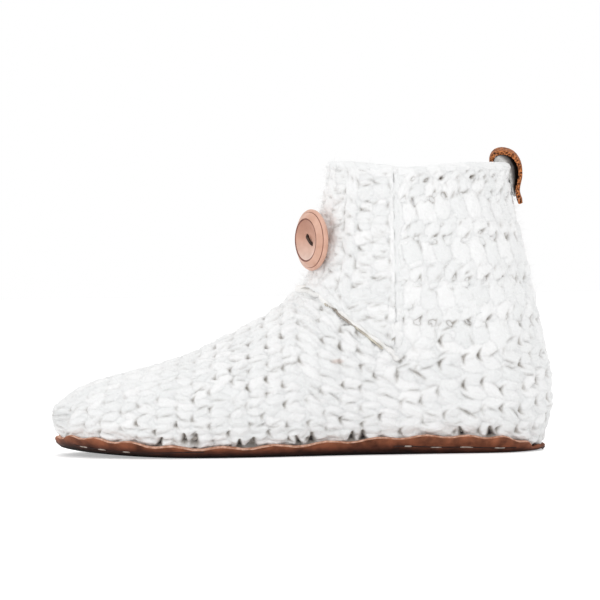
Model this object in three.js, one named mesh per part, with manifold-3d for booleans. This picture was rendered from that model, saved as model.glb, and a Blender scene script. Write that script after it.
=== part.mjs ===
// Wool slipper boot for the left foot, in millimetres.
// The toe points along -X, the outer side faces -Y and the floor is z = 0.

import * as THREE from 'three';
import Module from 'manifold-3d';
import { mergeVertices } from 'three/addons/utils/BufferGeometryUtils.js';

const wasm = await Module();
wasm.setup();

// Driving sizes
const wall = 4.5; // crocheted wall
const gap = 0.3; // between pieces that meet
const rimGap = 0.45; // between the wool and the turned-up edge of the sole
const leather = 2; // outsole
const felt = 3.5; // insole
const toeSpring = 4.4; // lift of the toe tip
const heelSpring = 0.8; // lift of the heel tip
const toeRise = { start: -45, end: -125 }; // where the lift of the toe begins and is full
const heelRise = { start: 95, end: 125 };
const ballX = -45; // widest place of the foot
const heelX = 85; // middle of the heel
const waistX = 22; // narrowest place between them
const waistReach = 31; // length over which the waist fades out
const waistShare = { outer: 0.7, inner: 1.3 }; // of the waist's hollow on the two sides
const swingX = -25; // forward of this the toe bends to the inner side
const swingReach = 75;
const roundness = 2.15; // of the ends of a section, 2 is an ellipse
const upperSides = 68; // facets round the upper
const soleSides = 150; // facets round the sole

// Side outline of the upper: front and back of its level sections, before the toe and heel are lifted
const outlineRows = [
  { height: 2.3, front: -120, back: 118.5 },
  { height: 5, front: -123.2, back: 120.8 },
  { height: 9, front: -124.6, back: 121.8 },
  { height: 14.5, front: -125.2, back: 123.8 },
  { height: 21.5, front: -123, back: 125.1 },
  { height: 27.3, front: -117.4, back: 125.3 },
  { height: 31.4, front: -111.8, back: 125.2 },
  { height: 35.3, front: -103.2, back: 124.9 },
  { height: 40.5, front: -88, back: 124.4 },
  { height: 45.3, front: -71.4, back: 123.5 },
  { height: 51.7, front: -53.2, back: 122.3 },
  { height: 58.1, front: -40.6, back: 120.9 },
  { height: 65.4, front: -25.8, back: 119.3 },
  { height: 73.7, front: -11.2, back: 117.7 },
  { height: 81, front: -3, back: 116.3 },
  { height: 88.7, front: 3.6, back: 114.6 },
  { height: 97, front: 5.6, back: 113 },
  { height: 108, front: 7.2, back: 110.7 },
  { height: 122.8, front: 10.6, back: 107.2 },
  { height: 135.3, front: 13, back: 106 },
  { height: 145.5, front: 14.8, back: 105.2 },
];

// Widths of the same sections: half widths at ball and heel, lengths of the round ends,
// the hollow of the waist and the sideways bend of the toe
const widthRows = [
  { height: 2.3, ball: 38.5, heel: 26, frontRound: 66, backRound: 32, waist: 4.5, swing: 7 },
  { height: 5, ball: 43, heel: 30, frontRound: 70, backRound: 35, waist: 4.5, swing: 7 },
  { height: 9, ball: 46.2, heel: 33, frontRound: 72, backRound: 37, waist: 4.2, swing: 7 },
  { height: 15.5, ball: 48.8, heel: 35.4, frontRound: 74, backRound: 39, waist: 4, swing: 7 },
  { height: 28.7, ball: 48, heel: 36, frontRound: 76, backRound: 40, waist: 3, swing: 6 },
  { height: 46, ball: 43.5, heel: 36.4, frontRound: 74, backRound: 41, waist: 1.5, swing: 3 },
  { height: 65.4, ball: 39.5, heel: 37.2, frontRound: 66, backRound: 43, waist: 0, swing: 0 },
  { height: 88.7, ball: 38.5, heel: 38.5, frontRound: 55, backRound: 46, waist: 0, swing: 0 },
  { height: 122.8, ball: 37.5, heel: 37.5, frontRound: 49, backRound: 46, waist: 0, swing: 0 },
  { height: 145.5, ball: 37, heel: 37, frontRound: 45, backRound: 43.5, waist: 0, swing: 0 },
];

// Front flap: thick panel let into the front of the shaft, seen from the outer side
const flap = {
  depth: 4.3, // how far the shaft is let in under it
  seamX: 48, // upright line where it grows out of the shaft
  seamRamp: 6, // run of the step at that line
  edgeX: 46.2, // cut of its own edge beside that line
  lowBack: 48.1, // height of the lower edge at the seam
  lowFront: 82.2, // and at the front of the ankle
  frontX: 4.5,
  freeY: 15, // free edge on the inner side
  trough: { front: 5, side: 15 }, // width of the soft hollow along its free edges
  sideY: { start: 4, end: 26 }, // where the narrow hollow of the front becomes the wide one of the side
  cornerRadius: 9,
};
// Step in the wall along the lower edge of the panel below, on the inner side
const innerStep = { depth: 2.6, low: -2, high: 3 };

const collarDip = { x: 54, reach: 26, depth: 4.4 };
const collarFall = { start: 60, end: 104, depth: 2.2 };
const collarFrom = 100; // the collar's waves fade out down to this height

// Height of the sole's turned-up edge, from the toe (0) to the heel (1)
const rimRows = [
  { along: 0, rise: 3.6 },
  { along: 0.12, rise: 7.5 },
  { along: 0.24, rise: 8 },
  { along: 0.34, rise: 6.4 },
  { along: 0.46, rise: 6.6 },
  { along: 0.55, rise: 8 },
  { along: 0.65, rise: 9.8 },
  { along: 0.74, rise: 9.4 },
  { along: 0.82, rise: 8 },
  { along: 0.9, rise: 3.6 },
  { along: 1, rise: 2.8 },
];
const rimWave = { count: 30, depth: 0.7 };
const plateRings = [0.7, 0.9]; // inner rings of a flat plate, as shares of its outline

// Turned button: its face rises from the edge to a ring, inside which it is dished
const button = { radius: 15.25, thick: 5.6, ring: 10.6, dishDeep: 2.8, hole: 1.1, holePitch: 6, sides: 30 };
const buttonSeat = { around: 0.1, height: 106.2, stand: 2.1, turn: 0.11 }; // turn to the outer side, rad
const buttonHoleTurn = -0.85; // turn of the pair of holes from upright, radians

// Middle line of the leather strip, from inside the shaft over the collar to its free end
const loopRows = [
  { x: 99.7, z: 122 },
  { x: 98.2, z: 133 },
  { x: 96.7, z: 141.5 },
  { x: 96.4, z: 145.4 },
  { x: 98.3, z: 148.5 },
  { x: 102.4, z: 149.3 },
  { x: 107.2, z: 147.3 },
  { x: 110.1, z: 142.5 },
  { x: 110.4, z: 137.4 },
  { x: 109.2, z: 131.8 },
  { x: 109.4, z: 127.4 },
  { x: 110.6, z: 123.8 },
];
const loop = { wide: 13, thick: 2.3, steps: 30 };
const loopSkew = { x: 0.05, z: 0.17 }; // its inner-side edge sits higher and further back

const centring = -0.8; // sideways shift that puts the origin under the middle of the box

const colours = {
  wool: 0xf1f0ec,
  leather: 0x8a4a2e,
  felt: 0xe6e0d4,
  wood: 0xc08a72,
  tan: 0xb5672f,
};

// Smooth value of one column of a table at a place between its rows
function column(rows, name, place, key = 'height') {
  const last = rows.length - 1;
  let i = 0;
  while (i < last - 1 && place > rows[i + 1][key]) i += 1;
  const slope = (k) => {
    const a = rows[Math.max(k - 1, 0)];
    const b = rows[Math.min(k + 1, last)];
    return (b[name] - a[name]) / (b[key] - a[key]);
  };
  const run = rows[i + 1][key] - rows[i][key];
  const u = THREE.MathUtils.clamp((place - rows[i][key]) / run, 0, 1);
  const start = rows[i][name];
  const end = rows[i + 1][name];
  const fromStart = start + slope(i) * run * u;
  const fromEnd = end - slope(i + 1) * run * (1 - u);
  const blend = u * u * (3 - 2 * u);
  const straight = start + (end - start) * u;
  const curved = fromStart * (1 - blend) + fromEnd * blend;
  return (straight + 2 * curved) / 3;
}

const ramp = (value, start, end) => THREE.MathUtils.smoothstep((value - start) / (end - start), 0, 1);
const roundEnd = (share) => {
  const left = 1 - THREE.MathUtils.clamp(share, 0, 1);
  return (1 - left ** roundness) ** (1 / roundness);
};
const bump = (value, middle, reach) => Math.exp(-(((value - middle) / reach) ** 2));

// Lift of toe and heel at a place along the foot
function lift(x) {
  const toe = Math.max(0, (x - toeRise.start) / (toeRise.end - toeRise.start));
  const heel = Math.max(0, (x - heelRise.start) / (heelRise.end - heelRise.start));
  return toeSpring * toe ** 2 + heelSpring * heel ** 2;
}

// Point on the outer form. around runs 0 at the toe, 1 at the heel by the outer side, 2 at the toe again.
function formPoint(around, height) {
  const turn = ((around % 2) + 2) % 2;
  const t = turn <= 1 ? turn : 2 - turn;
  const side = turn <= 1 ? -1 : 1;
  const at = (name) => column(widthRows, name, height);
  const front = column(outlineRows, 'front', height);
  const back = column(outlineRows, 'back', height);
  const x = front + (back - front) * (1 - Math.cos(Math.PI * t)) / 2;
  const share = side > 0 ? waistShare.inner : waistShare.outer;
  const hollow = at('waist') * bump(x, waistX, waistReach) * share;
  const half = THREE.MathUtils.lerp(at('ball'), at('heel'), ramp(x, ballX, heelX)) - hollow;
  const ends = roundEnd((x - front) / at('frontRound')) * roundEnd((back - x) / at('backRound'));
  const swing = at('swing') * (Math.max(0, swingX - x) / swingReach) ** 2;
  const collar = collarDip.depth * bump(x, collarDip.x, collarDip.reach)
    + collarFall.depth * ramp(x, collarFall.start, collarFall.end);
  const fade = ramp(height, collarFrom, outlineRows.at(-1).height);
  return new THREE.Vector3(x, side * half * ends + swing, height + lift(x) - collar * fade);
}

// Outward normal of the outer form, from points a small step away
function formNormal(around, height) {
  const step = { around: 0.012, height: 0.6 };
  const low = Math.max(height - step.height, outlineRows[0].height);
  const high = Math.min(height + step.height, outlineRows.at(-1).height);
  const along = formPoint(around + step.around, height).sub(formPoint(around - step.around, height));
  const up = formPoint(around, high).sub(formPoint(around, low));
  return along.cross(up).normalize();
}

const offsetPoint = (around, height, out) =>
  formPoint(around, height).addScaledVector(formNormal(around, height), out);

// Lower edge of the flap at a place along the foot
const flapLow = (x) => THREE.MathUtils.mapLinear(x, flap.frontX, flap.seamX, flap.lowFront, flap.lowBack);

// How far the wall is let in under the flap and along its edges
function letIn(around, height) {
  const p = formPoint(around, height);
  const above = p.z - flapLow(p.x);
  const seam = ramp(flap.seamX - p.x, 0, flap.seamRamp);
  const sideways = ramp(Math.abs(p.y), flap.sideY.start, flap.sideY.end);
  const trough = THREE.MathUtils.lerp(flap.trough.front, flap.trough.side, sideways);
  const lower = ramp(above, -trough, 0);
  const free = ramp(flap.freeY - p.y, -flap.trough.side, 0);
  const covered = flap.depth * seam * lower * free;
  const innerSide = ramp(p.y, flap.freeY - trough, flap.freeY + trough);
  const belowStep = ramp(above, -trough, innerStep.low) * (1 - ramp(above, innerStep.low, innerStep.high));
  const stepped = innerStep.depth * belowStep * seam * innerSide;
  return Math.max(covered, stepped);
}

// Points of one level round, from the toe by the outer side to the heel and back
function ring(sides, pointAt) {
  return Array.from({ length: sides }, (_, k) => pointAt((2 * k) / sides));
}

// Closed skin over rings of equal count, either joined end to end or closed by a point at each end
function skin(rings, poles) {
  const points = rings.flat();
  const sides = rings[0].length;
  const faces = [];
  const bands = poles ? rings.length - 1 : rings.length;
  for (let i = 0; i < bands; i += 1) {
    const low = i * sides;
    const high = ((i + 1) % rings.length) * sides;
    for (let k = 0; k < sides; k += 1) {
      const next = (k + 1) % sides;
      faces.push(low + k, low + next, high + next, low + k, high + next, high + k);
    }
  }
  if (poles) {
    const first = points.push(poles[0]) - 1;
    const last = points.push(poles[1]) - 1;
    const top = (rings.length - 1) * sides;
    for (let k = 0; k < sides; k += 1) {
      const next = (k + 1) % sides;
      faces.push(first, next, k, last, top + k, top + next);
    }
  }
  const geometry = new THREE.BufferGeometry().setFromPoints(points);
  geometry.setIndex(faces);
  return geometry;
}

function toSolid(geometry) {
  const bare = geometry.clone();
  bare.deleteAttribute('normal');
  bare.deleteAttribute('uv');
  const merged = mergeVertices(bare, 1e-4);
  const vertProperties = new Float32Array(merged.attributes.position.array);
  const triVerts = new Uint32Array(merged.index.array);
  return new wasm.Manifold(new wasm.Mesh({ numProp: 3, vertProperties, triVerts }));
}

function fromSolid(solid) {
  const mesh = solid.getMesh();
  const geometry = new THREE.BufferGeometry();
  geometry.setAttribute('position', new THREE.BufferAttribute(new Float32Array(mesh.vertProperties), 3));
  geometry.setIndex(new THREE.BufferAttribute(new Uint32Array(mesh.triVerts), 1));
  return geometry;
}

const levels = outlineRows.map((row) => row.height);
const formRings = (out) =>
  levels.map((height) => ring(upperSides, (a) => offsetPoint(a, height, out(a, height))));

// Crocheted foot and shaft: outer skin up, over the collar, inner skin down to a lip on the sole
function upperGeometry() {
  const outer = formRings((a, h) => -letIn(a, h));
  const inner = formRings((a, h) => -letIn(a, h) - wall).reverse();
  const bottom = levels[0];
  const lip = inner.at(-1).map((p) => new THREE.Vector3(p.x, p.y, bottom + lift(p.x)));
  return skin([...outer, ...inner, lip]);
}

// Outline of the space inside the upper where it meets the sole
const insidePoint = (around) => offsetPoint(around, levels[0], -letIn(around, levels[0]) - wall);

// Flap: what lies between the outer form and the let-in wall, cut to the flap's own outline
function flapGeometry() {
  const capped = (rings, rise) => {
    const top = rings.at(-1).map((p) => p.clone().setZ(p.z + rise));
    const all = rise > 0 ? [...rings, top] : rings;
    const middle = (list) => {
      const sum = list.reduce((total, p) => total.add(p), new THREE.Vector3());
      return sum.divideScalar(list.length);
    };
    return toSolid(skin(all, [middle(all[0]), middle(all.at(-1))]));
  };
  const outer = capped(formRings(() => 0), 0);
  const inner = capped(formRings((a, h) => gap - letIn(a, h)), flap.depth);
  const outline = new THREE.Shape();
  const frontEnd = -20; // in front of the shaft
  const top = 170; // above the collar
  const corner = flap.cornerRadius;
  outline.moveTo(flap.edgeX, top);
  outline.lineTo(flap.edgeX, flapLow(flap.edgeX) + corner);
  const turnX = flap.edgeX - corner;
  outline.quadraticCurveTo(flap.edgeX, flapLow(flap.edgeX), turnX, flapLow(turnX));
  outline.lineTo(flap.frontX, flap.lowFront);
  outline.lineTo(frontEnd, flap.lowFront);
  outline.lineTo(frontEnd, top);
  const reach = 80; // past the outer side
  const block = new THREE.ExtrudeGeometry(outline, { depth: reach, bevelEnabled: false, curveSegments: 5 });
  block.rotateX(Math.PI / 2);
  block.translate(0, flap.freeY, 0);
  return fromSolid(outer.subtract(inner).intersect(toSolid(block)));
}

// Leather sole: flat plate whose edge turns up outside the wool
function outsoleGeometry() {
  const base = levels[0];
  const rise = (a) => {
    const t = a <= 1 ? a : 2 - a;
    return column(rimRows, 'rise', t, 'along') + rimWave.depth * Math.cos(Math.PI * rimWave.count * a);
  };
  const mid = (a) => (base + rise(a)) / 2;
  const rim = (height, out) => ring(soleSides, (a) => offsetPoint(a, height(a), out));
  const plate = (share, z) => ring(soleSides, (a) => {
    const p = formPoint(a, base);
    const x = p.x * share;
    return new THREE.Vector3(x, p.y * share, z + lift(x));
  });
  const foot = () => base;
  const bottom = [...plateRings, 1].map((share) => plate(share, 0));
  const out = rimGap + leather;
  const outside = [rim(foot, out), rim(mid, out), rim(rise, out)];
  const inside = [rim(rise, rimGap), rim(mid, rimGap)];
  const floor = [1, ...plateRings.toReversed()].map((share) => plate(share, leather));
  const middle = [new THREE.Vector3(0, 0, 0), new THREE.Vector3(0, 0, leather)];
  return skin([...bottom, ...outside, ...inside, ...floor], middle);
}

// Felt insole inside the wool, on the leather
function insoleGeometry() {
  const clear = 0.8;
  const low = leather + gap;
  const plate = (share, z) => ring(upperSides, (a) => {
    const p = insidePoint(a);
    const shrink = new THREE.Vector2(p.x, p.y).setLength(clear);
    const x = (p.x - shrink.x) * share;
    return new THREE.Vector3(x, (p.y - shrink.y) * share, z + lift(x));
  });
  const bottom = [...plateRings, 1].map((share) => plate(share, low));
  const top = [1, ...plateRings.toReversed()].map((share) => plate(share, low + felt));
  const middle = [new THREE.Vector3(0, 0, low), new THREE.Vector3(0, 0, low + felt)];
  return skin([...bottom, ...top], middle);
}

// Turned button, its axis along +Z and its back at z = 0
function buttonGeometry() {
  const { radius, thick, ring: top, dishDeep } = button;
  const floor = thick - dishDeep;
  const profile = [
    [0, 0],
    [radius * 0.8, 0],
    [radius * 0.95, thick * 0.12],
    [radius, thick * 0.38],
    [radius * 0.975, thick * 0.52],
    [radius * 0.9, thick * 0.67],
    [radius * 0.8, thick * 0.82],
    [top, thick],
    [top * 0.95, thick * 0.95],
    [top * 0.84, floor + dishDeep * 0.7],
    [top * 0.63, floor + dishDeep * 0.39],
    [top * 0.38, floor + dishDeep * 0.14],
    [0, floor],
  ].map(([r, z]) => new THREE.Vector2(r, z));
  const body = new THREE.LatheGeometry(profile, button.sides).rotateX(Math.PI / 2);
  let solid = toSolid(body);
  for (const end of [-1, 1]) {
    const drill = new THREE.CylinderGeometry(button.hole, button.hole, 3 * thick, 12).rotateX(Math.PI / 2);
    const reach = end * button.holePitch / 2;
    drill.translate(reach * Math.sin(buttonHoleTurn), reach * Math.cos(buttonHoleTurn), 0);
    solid = solid.subtract(toSolid(drill));
  }
  return fromSolid(solid);
}

// Leather strip bent in the upright middle plane of the shoe
function loopGeometry() {
  const line = new THREE.SplineCurve(loopRows.map((row) => new THREE.Vector2(row.x, row.z)));
  const side = (sign) => Array.from({ length: loop.steps + 1 }, (_, k) => {
    const u = k / loop.steps;
    const tangent = line.getTangent(u);
    const across = new THREE.Vector2(-tangent.y, tangent.x).multiplyScalar(sign * loop.thick / 2);
    return line.getPoint(u).add(across);
  });
  const outline = new THREE.Shape([...side(1), ...side(-1).reverse()]);
  const strip = new THREE.ExtrudeGeometry(outline, { depth: loop.wide, bevelEnabled: false });
  strip.rotateX(Math.PI / 2);
  strip.translate(0, loop.wide / 2, 0);
  const { x, z } = loopSkew;
  return strip.applyMatrix4(new THREE.Matrix4().set(1, x, 0, 0, 0, 1, 0, 0, 0, z, 1, 0, 0, 0, 0, 1));
}

function piece(name, geometry, colour, roughness) {
  const material = new THREE.MeshStandardMaterial({ color: colour, roughness, metalness: 0 });
  const mesh = new THREE.Mesh(geometry, material);
  mesh.name = name;
  return mesh;
}

const slipper = new THREE.Group();
slipper.add(piece('outsole', outsoleGeometry(), colours.leather, 0.55));
slipper.add(piece('insole', insoleGeometry(), colours.felt, 0.95));
slipper.add(piece('upper', upperGeometry(), colours.wool, 0.95));
slipper.add(piece('front_flap', flapGeometry(), colours.wool, 0.95));

const buttonMesh = piece('button', buttonGeometry(), colours.wood, 0.45);
const upwards = new THREE.Vector3(0, 0, 1);
const facing = formNormal(buttonSeat.around, buttonSeat.height).setZ(0).normalize();
facing.applyAxisAngle(upwards, buttonSeat.turn);
const across = upwards.clone().cross(facing);
buttonMesh.quaternion.setFromRotationMatrix(new THREE.Matrix4().makeBasis(across, upwards, facing));
buttonMesh.position.copy(formPoint(buttonSeat.around, buttonSeat.height));
buttonMesh.position.addScaledVector(facing, buttonSeat.stand);
slipper.add(buttonMesh);

slipper.add(piece('pull_loop', loopGeometry(), colours.tan, 0.8));
slipper.position.y = centring;

export default slipper;
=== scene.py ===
# Crocheted wool slipper boot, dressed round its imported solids
# The toe points to -X, the outer side with the button faces -Y and the floor is z = 0

import math

import bmesh
import bpy
import numpy as np
from mathutils import Matrix, Vector
from mathutils.bvhtree import BVHTree


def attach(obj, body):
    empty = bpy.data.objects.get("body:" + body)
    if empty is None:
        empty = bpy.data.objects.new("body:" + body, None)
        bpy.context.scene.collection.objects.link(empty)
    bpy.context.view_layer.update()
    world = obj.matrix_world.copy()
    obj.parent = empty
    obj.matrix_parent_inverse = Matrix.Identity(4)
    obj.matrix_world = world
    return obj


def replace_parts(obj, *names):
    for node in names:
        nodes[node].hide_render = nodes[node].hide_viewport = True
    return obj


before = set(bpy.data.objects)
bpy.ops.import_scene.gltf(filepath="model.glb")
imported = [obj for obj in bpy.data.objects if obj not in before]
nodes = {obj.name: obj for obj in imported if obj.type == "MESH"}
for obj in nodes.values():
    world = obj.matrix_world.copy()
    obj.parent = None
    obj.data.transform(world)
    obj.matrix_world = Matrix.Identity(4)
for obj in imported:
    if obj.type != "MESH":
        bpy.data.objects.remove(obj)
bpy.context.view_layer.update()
scene = bpy.context.scene
mm = 0.001
dice = np.random.default_rng(11)  # fixed seed: the same slipper on every run


def newObject(name, data):
    made = bpy.data.objects.new(name, data)
    scene.collection.objects.link(made)
    return made


# Camera: long lens at the photographed side, rolled so that the heel stands a little high
cameraSet = {"aim": (-0.0003, 0.0, 0.0763), "distance": 1.8, "elevation": 0.8, "frame": 0.3, "roll": -0.8}

camera = newObject("camera", bpy.data.cameras.new("camera"))
lift = math.radians(cameraSet["elevation"])
away = Vector((0, -math.cos(lift), math.sin(lift)))
camera.location = Vector(cameraSet["aim"]) + away * cameraSet["distance"]
camera.rotation_euler = (-away).to_track_quat("-Z", "Y").to_euler()
camera.rotation_euler.rotate_axis("Z", math.radians(cameraSet["roll"]))
camera.data.lens = camera.data.sensor_width * cameraSet["distance"] / cameraSet["frame"]
scene.camera = camera


# Materials
def linear(code):  # sRGB hex to linear colour
    parts = [int(code[i:i + 2], 16) / 255 for i in (1, 3, 5)]
    return [p / 12.92 if p < 0.04045 else ((p + 0.055) / 1.055) ** 2.4 for p in parts] + [1]


def addNode(tree, kind, inputs=None, **settings):
    node = tree.nodes.new("ShaderNode" + kind)
    for name, value in settings.items():
        setattr(node, name, value)
    for name, value in (inputs or {}).items():
        if isinstance(value, bpy.types.NodeSocket):
            tree.links.new(value, node.inputs[name])
        else:
            node.inputs[name].default_value = value
    return node


def maths(tree, operation, *values):
    return addNode(tree, "Math", dict(enumerate(values)), operation=operation).outputs[0]


def mixed(tree, share, first, second, **settings):
    return addNode(tree, "Mix", {0: share, 6: first, 7: second}, data_type="RGBA", **settings).outputs[2]


def noise(tree, place, size, detail):  # size in mm
    node = addNode(tree, "TexNoise", {"Vector": place, "Scale": 1 / (size * mm), "Detail": detail})
    return node.outputs["Fac"]


def ramp(tree, share, stops):  # positions and their colours
    node = addNode(tree, "ValToRGB", {"Fac": share})
    elements = node.color_ramp.elements
    while len(elements) < len(stops):
        elements.new(0.5)
    for element, (position, code) in zip(elements, stops):
        element.position = position
        element.color = linear(code)
    return node.outputs[0]


def bumped(tree, shader, height, strength, deep):  # deep in mm
    bump = addNode(tree, "Bump", {"Height": height, "Strength": strength, "Distance": deep * mm})
    tree.links.new(bump.outputs[0], shader.inputs["Normal"])


def newMaterial(name, **sockets):
    material = bpy.data.materials.new(name)
    material.use_nodes = True
    tree = material.node_tree
    shader = tree.nodes["Principled BSDF"]
    for socket, value in sockets.items():
        shader.inputs[socket.replace("_", " ")].default_value = value
    return material, tree, shader


def clouded(name, size, low, high, grainSize, grainDeep, grainStrength, edges=(0.32, 0.68), **sockets):
    # Material of two shades in soft clouds of a real size (mm), with a grain of its own size and depth
    material, tree, shader = newMaterial(name, **sockets)
    place = addNode(tree, "TexCoord").outputs["Object"]
    colour = ramp(tree, noise(tree, place, size, 5.0), list(zip(edges, (low, high))))
    tree.links.new(colour, shader.inputs["Base Color"])
    bumped(tree, shader, noise(tree, place, grainSize, 4.0), grainStrength, grainDeep)
    return material


# Painted light and shade: a colour ramp multiplied into a material's colour up its side
def paintShadeByRise(material, stops):  # tints a material up its side by the attribute "rise"
    tree = material.node_tree
    base = tree.nodes["Principled BSDF"].inputs["Base Color"]
    rise = addNode(tree, "Attribute", attribute_name="rise").outputs["Fac"]  # share of the way
    dye = base.links[0].from_socket
    tree.links.new(mixed(tree, 1.0, ramp(tree, rise, stops), dye, blend_type="MULTIPLY"), base)


yarnLook = {
    "lines": 1.6, "twist": 11.0, "plyDeep": 0.25,  # ply lines over half a width, mm for one more
    "fibres": (0.3, 4.5, 40.0), "tangle": 1.3, "tangleDeep": 0.9, "strength": 0.5, "deep": 0.8,
    # The last two greys are painted shade, mixed in by how deep the skin's creases are
    "shade": "#eff0f0", "light": "#f8f8f8", "hollow": "#b3aea8", "gap": "#3f3839",
    "fleck": (17.5, -40, 46.6), "fleckHalf": (3.4, 60, 1.3), "fleckColour": "#b58d78",  # rusty speck, mm
}


def woolYarn():
    # Loosely spun merino: matt, soft, ply lines along each strand, an uneven white, with painted shade: grey
    # in the creases, near black in the deepest gaps
    material, tree, shader = newMaterial("chunky merino", Roughness=0.95, Sheen_Weight=0.2,
                                         Sheen_Roughness=0.5)
    yarn = addNode(tree, "Attribute", attribute_name="yarn").outputs["Vector"]  # along (mm), across, tone
    depth = addNode(tree, "Attribute", attribute_name="hollow").outputs["Fac"]
    solid = addNode(tree, "TexCoord").outputs["Object"]
    along, across, tone = addNode(tree, "SeparateXYZ", {"Vector": yarn}).outputs
    turns = maths(tree, "MULTIPLY", along, 1 / yarnLook["twist"])
    helix = maths(tree, "MULTIPLY_ADD", across, yarnLook["lines"], turns)
    plies = maths(tree, "ABSOLUTE", maths(tree, "SINE", maths(tree, "MULTIPLY", helix, math.pi)))
    spread = addNode(tree, "VectorMath", {0: yarn, 1: yarnLook["fibres"]}, operation="MULTIPLY").outputs[0]
    fibres = addNode(tree, "TexNoise", {"Vector": spread, "Scale": 1.0, "Detail": 4.0, "Roughness": 0.6})
    lines = maths(tree, "MULTIPLY_ADD", plies, yarnLook["plyDeep"], fibres.outputs["Fac"])
    tangle = noise(tree, solid, yarnLook["tangle"], 3.0)
    height = maths(tree, "MULTIPLY_ADD", tangle, yarnLook["tangleDeep"], lines)
    bumped(tree, shader, height, yarnLook["strength"], yarnLook["deep"])
    white = mixed(tree, tone, linear(yarnLook["shade"]), linear(yarnLook["light"]))
    # Painted shade: grey in the creases, near black where they are deepest
    greyed = mixed(tree, depth, white, linear(yarnLook["hollow"]))
    opened = addNode(tree, "MapRange", {"Value": depth, "From Min": 1.0, "From Max": 2.0}).outputs[0]
    dark = mixed(tree, opened, greyed, linear(yarnLook["gap"]))
    away = addNode(tree, "Mapping", {
        "Vector": solid, "Scale": [1 / (half * mm) for half in yarnLook["fleckHalf"]],
        "Location": [-at / half for at, half in zip(yarnLook["fleck"], yarnLook["fleckHalf"])],
    })
    far = addNode(tree, "VectorMath", {0: away.outputs[0]}, operation="LENGTH").outputs["Value"]
    near = addNode(tree, "MapRange", {"Value": far, "From Min": 1.2, "From Max": 0.5, "To Max": 0.4})
    colour = mixed(tree, near.outputs[0], dark, linear(yarnLook["fleckColour"]))
    tree.links.new(colour, shader.inputs["Base Color"])
    return material


wool = woolYarn()
# Back of the stitches, seen only between them: the same wool, greyer because light hardly gets in
backing = clouded("wool backing", 6, "#c3bfb9", "#d8d5d0", 3, 1.2, 0.6, Roughness=1.0)
# Warm grey wool laid in the crease under the flap's roll: painted shade of the crease
creaseShadeWool = clouded("wool in painted crease shade", 5, "#a29990", "#d8d2c2", 1.2, 0.5, 0.5, (0.42, 0.6), Roughness=1.0)
# The roll itself, of a slightly creamy wool
rollWool = clouded("cream wool", 5, "#f0efec", "#f8f7f6", 1.5, 0.6, 0.5, Roughness=1.0)
# Single fibres that stand off the yarn
looseFibre = clouded("loose merino fibre", 8, "#f4f3f2", "#ffffff", 2, 0.1, 0.2, Roughness=1.0)
# Waxed vegetable-tanned hide: red brown with uneven dye, and painted shade that turns it black towards the
# floor
hide = clouded("waxed brown hide", 7, "#989391", "#ffffff", 0.8, 0.3, 0.5, Roughness=0.6,
               Specular_IOR_Level=0.2)
paintShadeByRise(hide, [
    (0.0, "#0b0605"), (0.1, "#1d0f0c"), (0.3, "#512c20"), (0.5, "#774431"), (0.65, "#8f5339"),
    (1.0, "#9e6044"),
])
# Raw cut through the hide: paler, pinkish and fibrous
hideEdge = clouded("raw cut hide edge", 2.2, "#a06a50", "#dcb29c", 1.1, 0.3, 0.5, Roughness=0.85)
# Cut line that the sole's thread lies in, painted near black as its shade
slitShade = clouded("painted shade in the cut", 3, "#241310", "#38201a", 1, 0.2, 0.3, Roughness=0.9)
# Waxed linen thread, pale grey
linen = clouded("waxed linen thread", 2, "#84766d", "#bdb2a8", 0.5, 0.2, 0.6, Roughness=0.7)
# Rough oiled strap leather: orange tan, coarse dark specks, rubbed places
strap = clouded("oiled tan strap leather", 0.9, "#3a1a0c", "#d58550", 1.1, 0.7, 0.9, (0.40, 0.62),
                Roughness=0.75, Specular_IOR_Level=0.15)
# Its inner flesh side, painted near black as the shade inside the loop
strapInnerShade = clouded("painted shade of the loop's inner side", 2, "#120c09", "#241712", 0.8, 0.4, 0.6, Roughness=1.0,
                     Specular_IOR_Level=0.0)
# Sheet of painted shade inside the loop: black next to the strip, fading to the wool's white
loopShadeSheet = clouded("painted shade inside the loop", 2, "#cccccc", "#ffffff", 0.8, 0.2, 0.4, Roughness=1.0,
                   Specular_IOR_Level=0.0)
paintShadeByRise(loopShadeSheet, [(0.0, "#0c0807"), (0.3, "#1b1512"), (0.6, "#8f8986"), (0.88, "#f1f0ee")])
# Dark waxed cotton through the button
buttonCotton = clouded("dark waxed cotton", 2, "#2a1c15", "#4a3427", 0.5, 0.2, 0.6, Roughness=0.7)
# Pressed wool felt: matt cream, tangled fibres
felt = clouded("pressed felt", 2, "#cfc6b6", "#efe9dd", 1.5, 0.6, 0.5, Roughness=1.0)
# Turned and waxed pear wood: fine pinkish grain, satin
pearWood = clouded("waxed pear wood", 7, "#c9977f", "#deb19c", 1.2, 0.1, 0.2, Roughness=0.42,
                   Coat_Weight=0.15)
# Its sanded dish, left without wax, with painted shade at the top and painted light towards the lower side
dishWoodLitAndShaded = clouded("sanded pear wood", 6, "#ebe4e0", "#ffffff", 1.2, 0.1, 0.2, Roughness=0.55)
paintShadeByRise(dishWoodLitAndShaded, [(0.0, "#b98773"), (0.45, "#d0a18c"), (0.8, "#e6c3b3"), (1.0, "#efd5c9")])
# Dark lines painted as shade at the dish's edge and in the step groove near the rim
ringShade = clouded("painted shade line in pear wood", 3, "#6b3d30", "#8a5646", 0.8, 0.1, 0.2, Roughness=0.6)
print("materials ready")


# Places on the wool: rays from outside stop at the outermost face
def searchTree(*names):
    points, faces = [], []
    for name in names:
        mesh = nodes[name].data
        start = len(points)
        points += [v.co.copy() for v in mesh.vertices]
        faces += [[start + i for i in p.vertices] for p in mesh.polygons]
    return BVHTree.FromPolygons(points, faces)


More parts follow.
